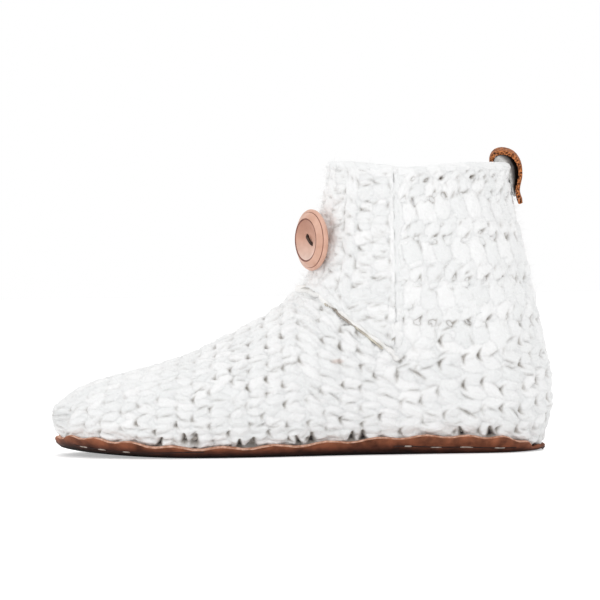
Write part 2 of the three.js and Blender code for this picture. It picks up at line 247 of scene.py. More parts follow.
outside = searchTree("upper", "front_flap")
inside = searchTree("upper")
sideShift = -0.8  # mm, middle of the solids
shaftAxis = 60  # mm, upright line in the middle of the shaft
seamY = -37.5  # mm, outer side at the flap's seam
farOut = 0.25  # m, where the rays start


def touch(centre, direction, tree=outside):
    direction = direction.normalized()
    return tree.ray_cast(centre + direction * farOut, -direction, farOut)[0]


def touchSide(x, z, side=-1, tree=outside):  # place and normal seen straight from one side, mm in
    spot, normal, *_ = tree.ray_cast(Vector((x * mm, side * farOut, z * mm)), Vector((0, -side, 0)), farOut)
    return spot, normal


def heading(turn):
    return Vector((math.cos(turn), math.sin(turn), 0))


def bearing(x, y, axis=shaftAxis):  # direction from an upright axis, mm in
    return math.atan2(y - sideShift, x - axis)


def fromAxis(turn, z, tree=outside, axis=shaftAxis):  # place in that direction
    return touch(Vector((axis, sideShift, z)) * mm, heading(turn), tree)


def aroundLine(z, first, last, count, axis=shaftAxis):  # level line between two bearings
    return [fromAxis(turn, z, axis=axis) for turn in np.linspace(first, last, count)]


def unit(vectors):
    return vectors / np.maximum(np.linalg.norm(vectors, axis=-1, keepdims=True), 1e-12)


def evenLine(points, count):  # the same line in equal steps
    points = np.array(points)
    far = np.concatenate([[0], np.cumsum(np.linalg.norm(np.diff(points, axis=0), axis=1))])
    at = np.linspace(0, far[-1], count)
    return np.stack([np.interp(at, far, points[:, k]) for k in range(points.shape[1])], axis=1)


def lineLength(points):
    return float(np.sum(np.linalg.norm(np.diff(np.array(points)[:, :3], axis=0), axis=1)))


def surfaceGrid(lines, middle, outward=1):  # places and normals, rows of stitches across, stitches along
    grid = np.array(lines)
    normal = unit(np.cross(np.gradient(grid, axis=0), np.gradient(grid, axis=1)))
    if outward * np.mean(np.sum(normal * (grid - np.array(middle)), axis=2)) < 0:
        normal = -normal
    return np.concatenate([grid, normal], axis=2)


def sample(grid, across, along):
    rows, columns = grid.shape[:2]
    r = across * (rows - 1)
    c = along * (columns - 1)
    i = np.clip(np.floor(r), 0, rows - 2).astype(int)
    j = np.clip(np.floor(c), 0, columns - 2).astype(int)
    fr = (r - i)[..., None]
    fc = (c - j)[..., None]
    low = grid[i, j] * (1 - fc) + grid[i, j + 1] * fc
    high = grid[i + 1, j] * (1 - fc) + grid[i + 1, j + 1] * fc
    value = low * (1 - fr) + high * fr
    return value[..., :3], unit(value[..., 3:])


def smoothStep(share):
    share = np.clip(share, 0.0, 1.0)
    return share * share * (3 - 2 * share)


def fade(value, start, end):  # 0 at the start, 1 at the end
    return smoothStep((value - start) / (end - start))


# Form of the solids, mm
springs = [(-45, -80, 4.4), (95, 30, 0.8)]  # toe and heel: start, run and lift
toeBend = {"startX": -25, "run": 75, "shift": 7}
flapEnds = {"x": (4.5, 48), "z": (82.2, 48.1)}  # its lower edge, front and back
rimSet = {"top": 145.5, "dip": 4.4, "dipX": 54, "dipHalf": 26, "backDip": 2.2, "backX": (60, 104)}
edgeHeights = {  # of the leather: the wool goes down behind it
    "x": [-125, -116, -91, -61, -16, 20, 57, 80, 101, 113, 125],
    "z": [3.6, 6.9, 7.3, 5.8, 6.0, 7.3, 9.1, 8.8, 7.4, 3.4, 2.6],
    "cover": 2.0, "least": 2.8,
}


def springLift(x):
    return sum(lift * max(0.0, (x - start) / run) ** 2 for start, run, lift in springs)


def footMiddle(x):  # sideways
    return toeBend["shift"] * (max(0.0, toeBend["startX"] - x) / toeBend["run"]) ** 2 + sideShift


def flapLow(x):
    (frontX, backX), (frontZ, backZ) = flapEnds["x"], flapEnds["z"]
    return frontZ + (x - frontX) * (backZ - frontZ) / (backX - frontX)


def collarTop(x):
    dip = rimSet["dip"] * math.exp(-((x - rimSet["dipX"]) / rimSet["dipHalf"]) ** 2)
    return rimSet["top"] - dip - rimSet["backDip"] * fade(x, *rimSet["backX"])


def leatherHigh(x):
    return float(np.interp(x, edgeHeights["x"], edgeHeights["z"]))


def bottomEdge(x):
    return max(leatherHigh(x) - edgeHeights["cover"], edgeHeights["least"]) + springLift(x)


# Yarn: one short tube from operators, laid hundreds of times along paths
yarnSet = {"sides": 8, "rings": 9}


def yarnTemplate(sides, rings):
    bm = bmesh.new()
    bmesh.ops.create_cone(bm, cap_ends=True, segments=sides, radius1=1, radius2=1, depth=1)
    uprights = [e for e in bm.edges if abs(e.verts[0].co.z - e.verts[1].co.z) > 0.5]
    bmesh.ops.subdivide_edges(bm, edges=uprights, cuts=rings - 2, use_grid_fill=True)
    bm.verts.index_update()
    places = np.array([v.co for v in bm.verts])
    faces = [[v.index for v in f.verts] for f in bm.faces]
    bm.free()
    return places, faces


templatePlaces, templateFaces = yarnTemplate(**yarnSet)
templateRing = np.rint((templatePlaces[:, 2] + 0.5) * (yarnSet["rings"] - 1)).astype(int)
fuzzPlaces = []  # places, normals and strand directions where loose fibres stand


def newPiece(name, mesh, slot, *materials):
    for material in materials:
        mesh.materials.append(material)
    mesh.polygons.foreach_set("use_smooth", np.ones(len(mesh.polygons), bool))
    piece = newObject(name, mesh)
    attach(piece, "root")
    return piece


def setShares(mesh, name, shares):
    mesh.attributes.new(name, "FLOAT", "POINT").data.foreach_set("value", shares)


def setYarn(mesh, yarn, hollow):  # what the wool's material reads
    mesh.attributes.new("yarn", "FLOAT_VECTOR", "POINT").data.foreach_set("vector", yarn.ravel())
    setShares(mesh, "hollow", hollow)


def yarnObject(name, path, up, wide, deep, material=None, slot="wool", fuzzy=True):
    # path and up are strands x rings x 3, wide and deep are half sizes for each ring
    strands = len(path)
    along = unit(np.gradient(path, axis=1))
    side = unit(np.cross(along, up))
    over = np.cross(side, along)
    ring = templateRing
    points = path[:, ring] + side[:, ring] * (wide[:, ring] * templatePlaces[:, 0])[..., None]
    points = points + over[:, ring] * (deep[:, ring] * templatePlaces[:, 1])[..., None]
    count = len(templatePlaces)
    faces = [[start * count + i for i in face] for start in range(strands) for face in templateFaces]
    mesh = bpy.data.meshes.new(name)
    mesh.from_pydata(points.reshape(-1, 3).tolist(), [], faces)
    steps = np.linalg.norm(np.diff(path, axis=1), axis=2)
    far = np.concatenate([np.zeros((strands, 1)), np.cumsum(steps, axis=1)], axis=1)
    yarn = np.empty((strands, count, 3))
    yarn[..., 0] = far[:, ring] / mm
    yarn[..., 1] = templatePlaces[:, 0]
    yarn[..., 2] = dice.random(strands)[:, None]
    setYarn(mesh, yarn, np.zeros(strands * count))
    if fuzzy:
        ring = np.tile(np.arange(1, yarnSet["rings"] - 1), strands)
        strand = np.repeat(np.arange(strands), yarnSet["rings"] - 2)
        tops = path[strand, ring] + over[strand, ring] * deep[strand, ring, None]
        fuzzPlaces.append((tops, over[strand, ring], along[strand, ring]))
    return newPiece(name, mesh, slot, material or wool)


# Stitch shapes, as shares along and across a stitch. A strand also has the rise of its top over the form
# (mm) and its half width (share), a crease has its half width and depth (mm). Loose shapes vary more
stitchShapes = {
    # foot and heel: two legs from one point on the side of the toe, with a crease round it
    "vee": {
        "loose": 0.9, "slivers": 0.55,
        "strands": [
            [(0.46, -0.14, -1.5, 0.20), (0.36, 0.14, -0.4, 0.26), (0.25, 0.46, 0.0, 0.29),
             (0.16, 0.80, -0.3, 0.27), (0.10, 1.12, -1.4, 0.20)],
            [(0.54, -0.14, -1.6, 0.20), (0.64, 0.14, -0.5, 0.26), (0.75, 0.46, -0.1, 0.29),
             (0.85, 0.80, -0.4, 0.27), (0.91, 1.12, -1.5, 0.20)],
        ],
        "creases": [
            [(0.80, 0.22, 0.5, 0.1), (0.66, 0.07, 0.6, 0.9), (0.50, 0.00, 0.8, 1.7), (0.36, 0.08, 0.6, 0.9),
             (0.22, 0.24, 0.5, 0.1)],
        ],
    },
    # tall rows of the shaft: one fat strand a stitch, leaning back
    "leaf": {
        "loose": 0.9, "slivers": 0.25,
        "strands": [
            [(0.80, -0.20, -1.3, 0.40), (0.70, 0.12, -0.3, 0.54), (0.56, 0.48, 0.0, 0.58),
             (0.42, 0.85, -0.2, 0.55), (0.30, 1.18, -1.2, 0.42)],
        ],
        "creases": [
            [(0.62, 1.04, 0.5, 0.5), (0.78, 1.00, 0.9, 2.5), (0.92, 0.88, 0.8, 2.2), (1.00, 0.74, 0.5, 0.3)],
        ],
    },
    # short rows between them, leaning the other way
    "lean": {
        "loose": 0.8, "slivers": 0.25,
        "strands": [
            [(0.10, 0.00, -1.2, 0.36), (0.30, 0.28, -0.2, 0.52), (0.52, 0.62, 0.0, 0.54),
             (0.74, 0.98, -1.1, 0.36)],
            [(0.62, -0.02, -1.4, 0.26), (0.76, 0.18, -0.5, 0.36), (0.94, 0.42, -1.3, 0.26)],
        ],
        "creases": [
            [(0.36, -0.02, 0.5, 0.4), (0.50, 0.10, 0.8, 2.2), (0.64, 0.28, 0.6, 1.4),
             (0.76, 0.44, 0.5, 0.2)],
            [(0.04, 0.62, 0.5, 0.2), (0.14, 0.78, 0.6, 0.8), (0.28, 0.90, 0.5, 0.2)],
        ],
    },
    # nearly level strands of the flap
    "rung": {
        "loose": 1.0, "slivers": 0.55,
        "strands": [
            [(0.62, -0.14, -1.6, 0.24), (0.57, 0.14, -0.4, 0.34), (0.50, 0.48, 0.0, 0.39),
             (0.44, 0.82, -0.4, 0.35), (0.38, 1.12, -1.6, 0.24)],
            [(1.10, -0.06, -1.8, 0.20), (1.04, 0.20, -0.7, 0.27), (0.99, 0.48, -0.5, 0.30),
             (0.94, 0.76, -0.8, 0.27), (0.90, 1.04, -1.9, 0.20)],
        ],
        "creases": [
            [(1.00, 0.48, 0.4, 0.2), (0.90, 0.72, 0.5, 0.8), (0.87, 0.95, 0.6, 1.3), (0.97, 1.10, 0.4, 0.3)],
            [(0.46, 0.02, 0.4, 0.1), (0.40, 0.24, 0.5, 0.7), (0.47, 0.46, 0.4, 0.1)],
        ],
    },
    # smooth ridge along a row
    "rope": {
        "loose": 0.6, "slivers": 0.55,
        "strands": [
            [(-0.20, 0.34, -1.7, 0.26), (0.15, 0.42, -0.5, 0.36), (0.50, 0.54, -0.2, 0.42),
             (0.85, 0.60, -0.5, 0.36), (1.20, 0.70, -1.7, 0.26)],
        ],
        "creases": [
            [(0.10, 0.96, 0.5, 0.2), (0.30, 1.02, 0.6, 1.0), (0.50, 0.98, 0.5, 0.3)],
            [(0.86, 0.30, 0.4, 0.2), (0.98, 0.50, 0.6, 1.1), (1.04, 0.74, 0.4, 0.2)],
        ],
    },
}
jitter = {
    "along": 0.09, "across": 0.09, "rise": 0.3, "riseMost": 0.5, "width": 0.10, "slant": 0.16, "turn": 0.4,
    "depth": 0.5, "depthRange": (0.1, 1.5), "wave": 0.08, "wavePitch": 0.9, "waveRow": 2.1,
}
# Thin dark lines beside some strands, mm; their place is a share of the strand's half width
sliver = {"deep": (0.4, 1.2), "halfWide": 0.5, "place": 0.92, "taper": np.array([0.2, 0.8, 1.0, 0.8, 0.2])}


def throughPoints(rows, count):  # smooth curve through a short table
    rows = np.array(rows, float)
    ends = np.concatenate([[2 * rows[0] - rows[1]], rows, [2 * rows[-1] - rows[-2]]])
    made = []
    for spot in np.linspace(0, len(rows) - 1, count):
        i = min(int(spot), len(rows) - 2)
        f = spot - i
        a, b, c, d = ends[i:i + 4]
        bend = (2 * a - 5 * b + 4 * c - d) * f ** 2 + (3 * b - a - 3 * c + d) * f ** 3
        made.append(0.5 * (2 * b + (c - a) * f + bend))
    return np.array(made)


smoothShapes = {}
for shapeName, shape in stitchShapes.items():
    smoothShapes[shapeName] = [throughPoints(s, yarnSet["rings"]) for s in shape["strands"]]


def stitchRow(shape, low, high, count, shift):
    return {"shape": shape, "low": low, "high": high, "count": count, "shift": shift}


def evenRows(lines, rows, stitch, shift, shape="vee"):  # equal widths, four lines to a row
    made = []
    for k in range(rows):
        run = lineLength(lines[k * 4 + 2]) / mm
        made.append(stitchRow(shape, k / rows, (k + 1) / rows, round(run / stitch), (shift * k) % 1.0))
    return made


def tableRows(table, start, span, count):  # own widths, shifted in turn
    made = []
    for k, (low, high, shape) in enumerate(table):
        made.append(stitchRow(shape, (low - start) / span, (high - start) / span, count, 0.5 * (k % 2)))
    return made


def plotStitches(grid, rows, keep=None, raised=0.0):
    # rows: shape, low and high (shares across the grid), count along the grid and shift (share of a stitch)
    strands, creases = [], []
    slack = 0.01
    for row in rows:
        low, count = row["low"], row["count"]
        tall = row["high"] - low
        middle = np.full(40, low + tall / 2)
        stitchWide = lineLength(sample(grid, middle, np.linspace(0, 1, 40))[0]) / count
        plan = stitchShapes[row["shape"]]
        loose = plan["loose"]
        for k in range(-1, count + 1):
            start = (k + row["shift"]) / count
            centreAlong = start + 0.5 / count
            if not -slack < centreAlong < 1 + slack:
                continue
            centre = sample(grid, middle[:1], np.array([centreAlong]))[0][0] / mm
            if keep and not keep(*centre):
                continue
            move = dice.normal(0, loose, 2) * (jitter["along"], jitter["across"])
            move[1] += jitter["wave"] * math.sin(jitter["wavePitch"] * k + jitter["waveRow"] * low / tall)
            for shape in smoothShapes[row["shape"]]:
                nudge = dice.normal(0, loose, 3)
                u = shape[:, 0] + move[0] + nudge[2] * jitter["slant"] * (shape[:, 1] - 0.5)
                spot, normal = sample(grid, low + (shape[:, 1] + move[1]) * tall, start + u / count)
                half = shape[:, 3] * stitchWide * (1 + nudge[1] * jitter["width"])
                rise = (shape[:, 2] + min(nudge[0], jitter["riseMost"]) * jitter["rise"] + raised) * mm
                strands.append((spot, normal, rise, half))
                if dice.random() < plan["slivers"]:
                    long = len(sliver["taper"])
                    first = dice.integers(1, yarnSet["rings"] - long)
                    part = slice(first, first + long)
                    across = unit(np.cross(np.gradient(spot, axis=0), normal))[part]
                    beside = half[part] * dice.choice((-1, 1)) * sliver["place"]
                    line = spot[part] + across * beside[:, None]
                    depth = sliver["taper"] * dice.uniform(*sliver["deep"]) * mm
                    creases.append((line, np.full(long, sliver["halfWide"] * mm), depth))
            for shape in plan["creases"]:
                table = np.array(shape)
                turn = dice.normal(0, loose) * jitter["turn"]
                off = table[:, :2] - table[:, :2].mean(axis=0)
                u = table[:, 0].mean() + move[0] + off[:, 0] * math.cos(turn) - off[:, 1] * math.sin(turn)
                v = table[:, 1].mean() + move[1] + off[:, 0] * math.sin(turn) + off[:, 1] * math.cos(turn)
                spot, _ = sample(grid, low + v * tall, start + u / count)
                least, most = jitter["depthRange"]
                strength = min(max(1 + dice.normal(0, loose) * jitter["depth"], least), most)
                creases.append((spot, table[:, 2] * mm, table[:, 3] * strength * mm))
    return strands, creases


# Where stitches draw together under the corner of the flap, mm; the regular rows leave this place free
pinchSet = {
    "x": 47.0, "z": 46.5, "clear": 8.5, "start": 1.2, "halfWide": 3.3,
    "petals": [(22, 13), (64, 12.5), (108, 11), (152, 11), (196, 12), (238, 12), (302, 12.5),
               (338, 12.5)],  # degrees, mm
    "shape": [(0, -1.8, 0.5), (0.22, -0.5, 0.85), (0.55, 0.2, 1.05), (0.85, -0.4, 0.9),
              (1.1, -1.8, 0.55)],  # share, rise, width
}


def offPinch(x, y, z):
    return y > 0 or math.hypot(x - pinchSet["x"], z - pinchSet["z"]) > pinchSet["clear"]


# Foot: rounds of stitches from the toe to the ankle, over the instep
footSet = {
    "toeX": -119.5, "ankleX": 2.0, "rounds": 13, "stitch": 9.2, "toeTopX": -114.0, "topEndX": -3.5,
    "heart": 0.42, "under": 0.7, "middle": (-0.06, 0, 0.015),
}


def footSection(bottom, top):  # line over the foot in the plane of two points, from outer to inner side
    up = (top - bottom).normalized()
    centre = bottom.lerp(top, footSet["heart"])
    line = []
    for turn in np.linspace(-footSet["under"], math.pi + footSet["under"], 110):
        spot = touch(centre, up * math.sin(turn) + Vector((0, -math.cos(turn), 0)))
        if spot and spot.z / mm > bottomEdge(spot.x / mm):
            line.append(spot)
    return line


profile = []
for x in np.linspace(footSet["toeTopX"], footSet["topEndX"], 80):
    profile.append(outside.ray_cast(Vector((x * mm, footMiddle(x) * mm, 0.2)), Vector((0, 0, -1)))[0])
steps = footSet["rounds"] * 4 + 1
ridge = evenLine(profile, steps)
footLines = []
for k in range(steps):
    x = footSet["toeX"] + (footSet["ankleX"] - footSet["toeX"]) * k / (steps - 1)
    top = Vector(ridge[k])
    low = Vector((x * mm, top.y, bottomEdge(x) * mm))
    footLines.append(evenLine(footSection(low, top), 60))
rows = evenRows(footLines, footSet["rounds"], footSet["stitch"], 0.5)
plotted = [plotStitches(surfaceGrid(footLines, footSet["middle"]), rows)]

# Toe: one round that closes on the tip
toeSet = {"heart": (-106, 19), "petals": 11, "raised": 1.2, "aim": (-1, 0.06, 0.02), "open": 0.06}
heartX, heartZ = toeSet["heart"]
toeHeart = Vector((heartX, footMiddle(heartX), heartZ)) * mm
toeTip = np.array(touch(toeHeart, Vector(toeSet["aim"])))
toeLines = []
for share in np.linspace(toeSet["open"], 1, 9):
    aims = toeTip + (footLines[0] - toeTip) * share
    toeLines.append(evenLine([touch(toeHeart, Vector(a) - toeHeart) for a in aims], 60))
rows = [stitchRow("vee", 0.0, 1.0, toeSet["petals"], 0.0)]
plotted.append(plotStitches(surfaceGrid(toeLines, toeHeart), rows, None, toeSet["raised"]))
print("foot plotted")


# Sides of the foot under the flap's edge, in upright rows that lean a little at the front
sideSet = {
    "startX": 2.5, "endX": 47.0, "rows": 5, "stitch": 9.2, "clear": 2.5, "lean": 5.0, "leanTop": 80.0,
    "middle": (0.025, 0, 0.03),
}


def sideLines(side):
    lines = []
    for share in np.linspace(0, 1, sideSet["rows"] * 4 + 1):
        footX = sideSet["startX"] + (sideSet["endX"] - sideSet["startX"]) * share
        line = []
        for z in np.linspace(bottomEdge(footX), flapLow(footX) - sideSet["clear"], 60):
            x = footX - sideSet["lean"] * (1 - share) * z / sideSet["leanTop"]
            spot, _ = touchSide(x, z, side)
            if spot:
                line.append(spot)
        lines.append(evenLine(line, 40))
    return lines


for side in (-1, 1):
    lines = sideLines(side)
    rows = evenRows(lines, sideSet["rows"], sideSet["stitch"], 0.5)
    plotted.append(plotStitches(surfaceGrid(lines, sideSet["middle"]), rows, offPinch))


# Heel: upright rows round the back
heelSet = {
    "axisX": 66, "start": (47.5, -36), "level": 30, "top": 56.5, "rowWide": 10.3, "stitch": 11.6,
    "shift": 0.22, "middle": (0.07, 0, 0.03),
}
heelTurn = abs(bearing(*heelSet["start"], heelSet["axisX"]))
level = evenLine(aroundLine(heelSet["level"], -heelTurn, heelTurn, 120, heelSet["axisX"]), 400)
heelRows = round(lineLength(level) / mm / heelSet["rowWide"])
heelLines = []
for spot in evenLine(level, heelRows * 4 + 1):
    turn = bearing(spot[0] / mm, spot[1] / mm, heelSet["axisX"])
    heights = np.linspace(bottomEdge(spot[0] / mm), heelSet["top"], 40)
    heelLines.append(evenLine([fromAxis(turn, z, axis=heelSet["axisX"]) for z in heights], 40))
rows = evenRows(heelLines, heelRows, heelSet["stitch"], heelSet["shift"])
plotted.append(plotStitches(surfaceGrid(heelLines, heelSet["middle"]), rows, offPinch))
print("heel plotted")


# Shaft: level rows from the flap's seam round the back to the flap's free edge on the inner side
shaftSet = {
    "seamX": 50.0, "stitch": 8.0, "low": 54.5, "top": 141.5, "rimClear": 3.0, "freeEdge": (10, 20),
    "level": 110, "flapX": 46, "flapClear": 3, "middle": (0.06, 0, 0.1),
    "rows": [
        (54.5, 64.5, "leaf"), (64.5, 73.9, "lean"), (73.9, 84.9, "leaf"), (84.9, 94.4, "lean"),
        (94.4, 106.9, "leaf"), (106.9, 116.4, "lean"), (116.4, 127.9, "leaf"), (127.9, 137.0, "lean"),
        (137.0, 141.5, "lean"),
    ],
}
firstTurn = bearing(shaftSet["seamX"], seamY)
lastTurn = bearing(*shaftSet["freeEdge"])
level = evenLine(aroundLine(shaftSet["level"], firstTurn, lastTurn, 160), 90)
turns = [bearing(spot[0] / mm, spot[1] / mm) for spot in level]
shaftLines = []
for share in np.linspace(0, 1, 49):
    line = []
    for turn, spot in zip(turns, level):
        reach = collarTop(spot[0] / mm) - shaftSet["rimClear"] - shaftSet["low"]
        line.append(fromAxis(turn, shaftSet["low"] + share * reach))
    shaftLines.append(line)


def onShaft(x, y, z):
    return offPinch(x, y, z) and (x > shaftSet["flapX"] or z > flapLow(x) + shaftSet["flapClear"])


count = round(lineLength(level) / mm / shaftSet["stitch"])
rows = tableRows(shaftSet["rows"], shaftSet["low"], shaftSet["top"] - shaftSet["low"], count)
plotted.append(plotStitches(surfaceGrid(shaftLines, shaftSet["middle"]), rows, onShaft))
print("shaft plotted")


# Flap: upright rows from its seam to the front and round to the free edge
flapSet = {
    "seamX": 51.5, "freeEdge": (10, 13), "stitch": 9.6, "low": 46.0, "rimClear": 3.4, "level": 112,
    "edgeClear": 2.0, "frontX": 20, "middle": (0.06, 0, 0.1),
    "rows": [
        (0, 9, "rope"), (9, 18, "rung"), (18, 26, "rung"), (26, 34, "rope"), (34, 45, "rung"),
        (45, 53.5, "rope"), (53.5, 65, "rung"),
    ],
}
firstTurn = bearing(flapSet["seamX"], seamY)
lastTurn = bearing(*flapSet["freeEdge"]) - 2 * math.pi
level = evenLine(aroundLine(flapSet["level"], firstTurn, lastTurn, 160), 65)
flapReach = lineLength(level) / mm
flapLines = []
for spot in level:
    turn = bearing(spot[0] / mm, spot[1] / mm)
    top = collarTop(spot[0] / mm) - flapSet["rimClear"]
    flapLines.append([fromAxis(turn, z) for z in np.linspace(flapSet["low"], top, 60)])


def onFlap(x, y, z):
    return z > flapLow(max(x, flapEnds["x"][0])) + flapSet["edgeClear"]


count = round((collarTop(flapSet["frontX"]) - flapSet["rimClear"] - flapSet["low"]) / flapSet["stitch"])
lastRow = (flapSet["rows"][-1][1], flapReach, "rope")
rows = tableRows(flapSet["rows"] + [lastRow], 0, flapReach, count)
plotted.append(plotStitches(surfaceGrid(flapLines, flapSet["middle"]), rows, onFlap))
print("flap plotted, reach", round(flapReach, 1))


# Rolled edges: ropes of long overlapping strands
ropeSet = {"steps": 8, "before": 3, "after": 13, "stride": 3, "fewest": 6, "taper": 0.28, "uneven": 0.03}


def ropeStrands(centres, ups, pitch, halfWide, halfDeep, sway=0.5, dive=0.9):
    line = np.concatenate([np.array(centres), np.array(ups)], axis=1)
    count = max(2, round(lineLength(line) / mm / pitch))
    fine = evenLine(line, count * ropeSet["steps"] + 1)
    side = unit(np.cross(np.gradient(fine[:, :3], axis=0), fine[:, 3:]))
    strands = []
    for k in range(-1, count):
        at = k * ropeSet["steps"]
        marks = np.arange(at - ropeSet["before"], at + ropeSet["after"], ropeSet["stride"])
        marks = np.clip(marks, 0, len(fine) - 1)
        if marks[-1] - marks[0] < ropeSet["fewest"]:
            continue
        shares = np.linspace(-1, 1, len(marks))
        place = fine[marks, :3] + side[marks] * (sway * mm * shares)[:, None]
        place = place - unit(fine[marks, 3:]) * (dive * mm * np.abs(shares) ** 3)[:, None]
        plump = 1 - ropeSet["taper"] * np.abs(shares) ** 3 + dice.normal(0, ropeSet["uneven"])
        sizes = np.stack([halfWide * mm * plump, halfDeep * mm * plump], axis=1)
        strands.append(np.concatenate([place, fine[marks, 3:], sizes], axis=1))
    return strands


def layStrands(name, strands, **settings):  # each strand: a few rows of place, up, half width, half depth
    table = np.array([throughPoints(s, yarnSet["rings"]) for s in strands])
    return yarnObject(name, table[..., :3], unit(table[..., 3:6]), table[..., 6], table[..., 7], **settings)


def layRope(name, centres, ups, rope, sway=0.5, dive=0.9, **settings):
    strands = ropeStrands(centres, ups, rope["pitch"], rope["halfWide"], rope["halfDeep"], sway, dive)
    return layStrands(name, strands, **settings)


def softRope(centres, ups, pitch, half, sway=0.5):  # rope that only raises the skin, its top at the places
    made = []
    for strand in ropeStrands(centres, ups, pitch, half, 1.0, sway):
        table = throughPoints(strand, yarnSet["rings"])
        sink = -1.2 * mm * np.abs(np.linspace(-1, 1, len(table))) ** 3
        made.append((table[:, :3], unit(table[:, 3:6]), sink, table[:, 6]))
    plotted.append((made, []))


# Roll along the flap's lower edge, from the pinch round to the front
rollSet = {
    "below": 0.3, "sink": 3.0, "frontSink": 1.3, "frontX": (7, 1), "halfWide": 1.8, "halfDeep": 1.7,
    "pitch": 8.0, "front": 82.2, "rimUp": 2.0, "rimHalf": 2.6, "rimPitch": 7.0, "guess": 80.0,
    "turnStep": 0.04, "nearUp": 6, "farUp": 14, "corner": [(47.0, 46.8), (45.6, 50.0)], "startX": 43.0,
    "end": (3.0, 13.0), "endY": 8,
}
# Line under it: a sunk warm grey cord that paints the crease's shade
creaseShadeSet = {"below": 1.3, "sink": 1.9, "halfWide": 0.62, "halfDeep": 0.8, "pitch": 9.0, "x": (10.0, 41.0)}
# Hollow under the flap's edge and the wool that fills most of it on the outer side and the front
hollowSet = {
    "deep": 4.3, "high": 5, "sideHigh": 10, "sideY": (4, 26), "backX": (48, 42), "outerY": (16, 6),
    "frontX": (14, 6), "fill": 0.75, "frontFill": 0.1, "drop": 1.0, "frontUp": 2.0, "soft": 2.5,
}


def letIn(x, y, z):  # depth of the hollow, mm
    trough = hollowSet["high"] + hollowSet["sideHigh"] * fade(np.abs(y - sideShift), *hollowSet["sideY"])
    low = np.minimum(flapLow(x), rollSet["front"])
    return hollowSet["deep"] * fade(x, *hollowSet["backX"]) * smoothStep((z - low + trough) / trough)


def hollowFill(x, y, z):  # mm
    low = np.minimum(flapLow(x), rollSet["front"])
    front = fade(x, *hollowSet["frontX"])
    share = hollowSet["fill"] + (hollowSet["frontFill"] - hollowSet["fill"]) * front
    edge = smoothStep((low - hollowSet["drop"] + hollowSet["frontUp"] * front - z) / hollowSet["soft"])
    return share * letIn(x, y, z) * edge * fade(y, *hollowSet["outerY"])


def rollPlace(turn):  # place and normal on the form, a little under the flap's edge
    z = rollSet["guess"]
    for _ in range(8):
        spot = fromAxis(turn, z, inside)
        z = min(flapLow(spot.x / mm), rollSet["front"]) - rollSet["below"]
    spot = fromAxis(turn, z, inside)
    steps = (-rollSet["turnStep"], rollSet["turnStep"])
    near = [fromAxis(turn + step, z + rollSet["nearUp"]) for step in steps]
    higher = fromAxis(turn, z + rollSet["farUp"])
    normal = (near[1] - near[0]).cross(higher - (near[0] + near[1]) / 2).normalized()
    if normal.dot(spot - Vector((shaftAxis * mm, 0, spot.z))) < 0:
        normal = -normal
    return spot + normal * letIn(*(spot / mm)) * mm, normal


startTurn = bearing(rollSet["startX"], seamY)
endTurn = bearing(*rollSet["end"]) - 2 * math.pi
rollLine = [touchSide(x, z) for x, z in rollSet["corner"]]
rollLine += [rollPlace(turn) for turn in np.linspace(startTurn, endTurn, 40)]
places, normals = [np.array(part) for part in zip(*rollLine)]
down = unit(np.cross(np.gradient(places, axis=0), normals))
if down[len(down) // 2][2] > 0:
    down = -down
shown = places[:, 1] < rollSet["endY"] * mm
sinks = rollSet["sink"] + rollSet["frontSink"] * fade(places[:, :1] / mm, *rollSet["frontX"])
layRope("flap_roll", (places - normals * sinks * mm)[shown], normals[shown], rollSet, material=rollWool)
softRope(places - down * rollSet["rimUp"] * mm, normals, rollSet["rimPitch"], rollSet["rimHalf"], 0.6)
# The cord of painted crease shade, just under the roll and sunk into the wool
creaseShadePlaces = places + down * creaseShadeSet["below"] * mm - normals * creaseShadeSet["sink"] * mm
firstX, lastX = creaseShadeSet["x"]
shown = (places[:, 0] > firstX * mm) & (places[:, 0] < lastX * mm) & (places[:, 1] < 0)
layRope("flap_crease_shade", creaseShadePlaces[shown], normals[shown], creaseShadeSet, 0.2, 0.5, material=creaseShadeWool, fuzzy=False)

# Roll up the flap's free edge on the inner side
freeSet = {"low": 84, "rimX": 14, "rimClear": 4, "y": (8.5, 12.5), "past": 2.4}
freeLine = []
for z in np.linspace(freeSet["low"], collarTop(freeSet["rimX"]) - freeSet["rimClear"], 20):
    starts = [Vector((-0.1, y * mm, z * mm)) for y in freeSet["y"]]
    near, far = [outside.ray_cast(start, Vector((1, 0, 0)))[0] for start in starts]
    run = (far - near).normalized()
    normal = Vector((-run.y, run.x, 0)).normalized()
    freeLine.append((far + run * freeSet["past"] * mm - normal * rollSet["sink"] * mm, normal))
layRope("flap_free_edge", *zip(*freeLine), rollSet)

# The same roll on the inner side, along the step in the wall
innerSet = {"x": (46.5, 9.0), "above": 3.5, "drop": 5.0}
innerLine = []
for x in np.linspace(*innerSet["x"], 24):
    spot, normal = touchSide(x, flapLow(x) + innerSet["above"], 1)
    innerLine.append((spot - Vector((0, 0, innerSet["drop"] * mm)) - normal * rollSet["sink"] * mm, normal))
layRope("inner_roll", *zip(*innerLine), rollSet)

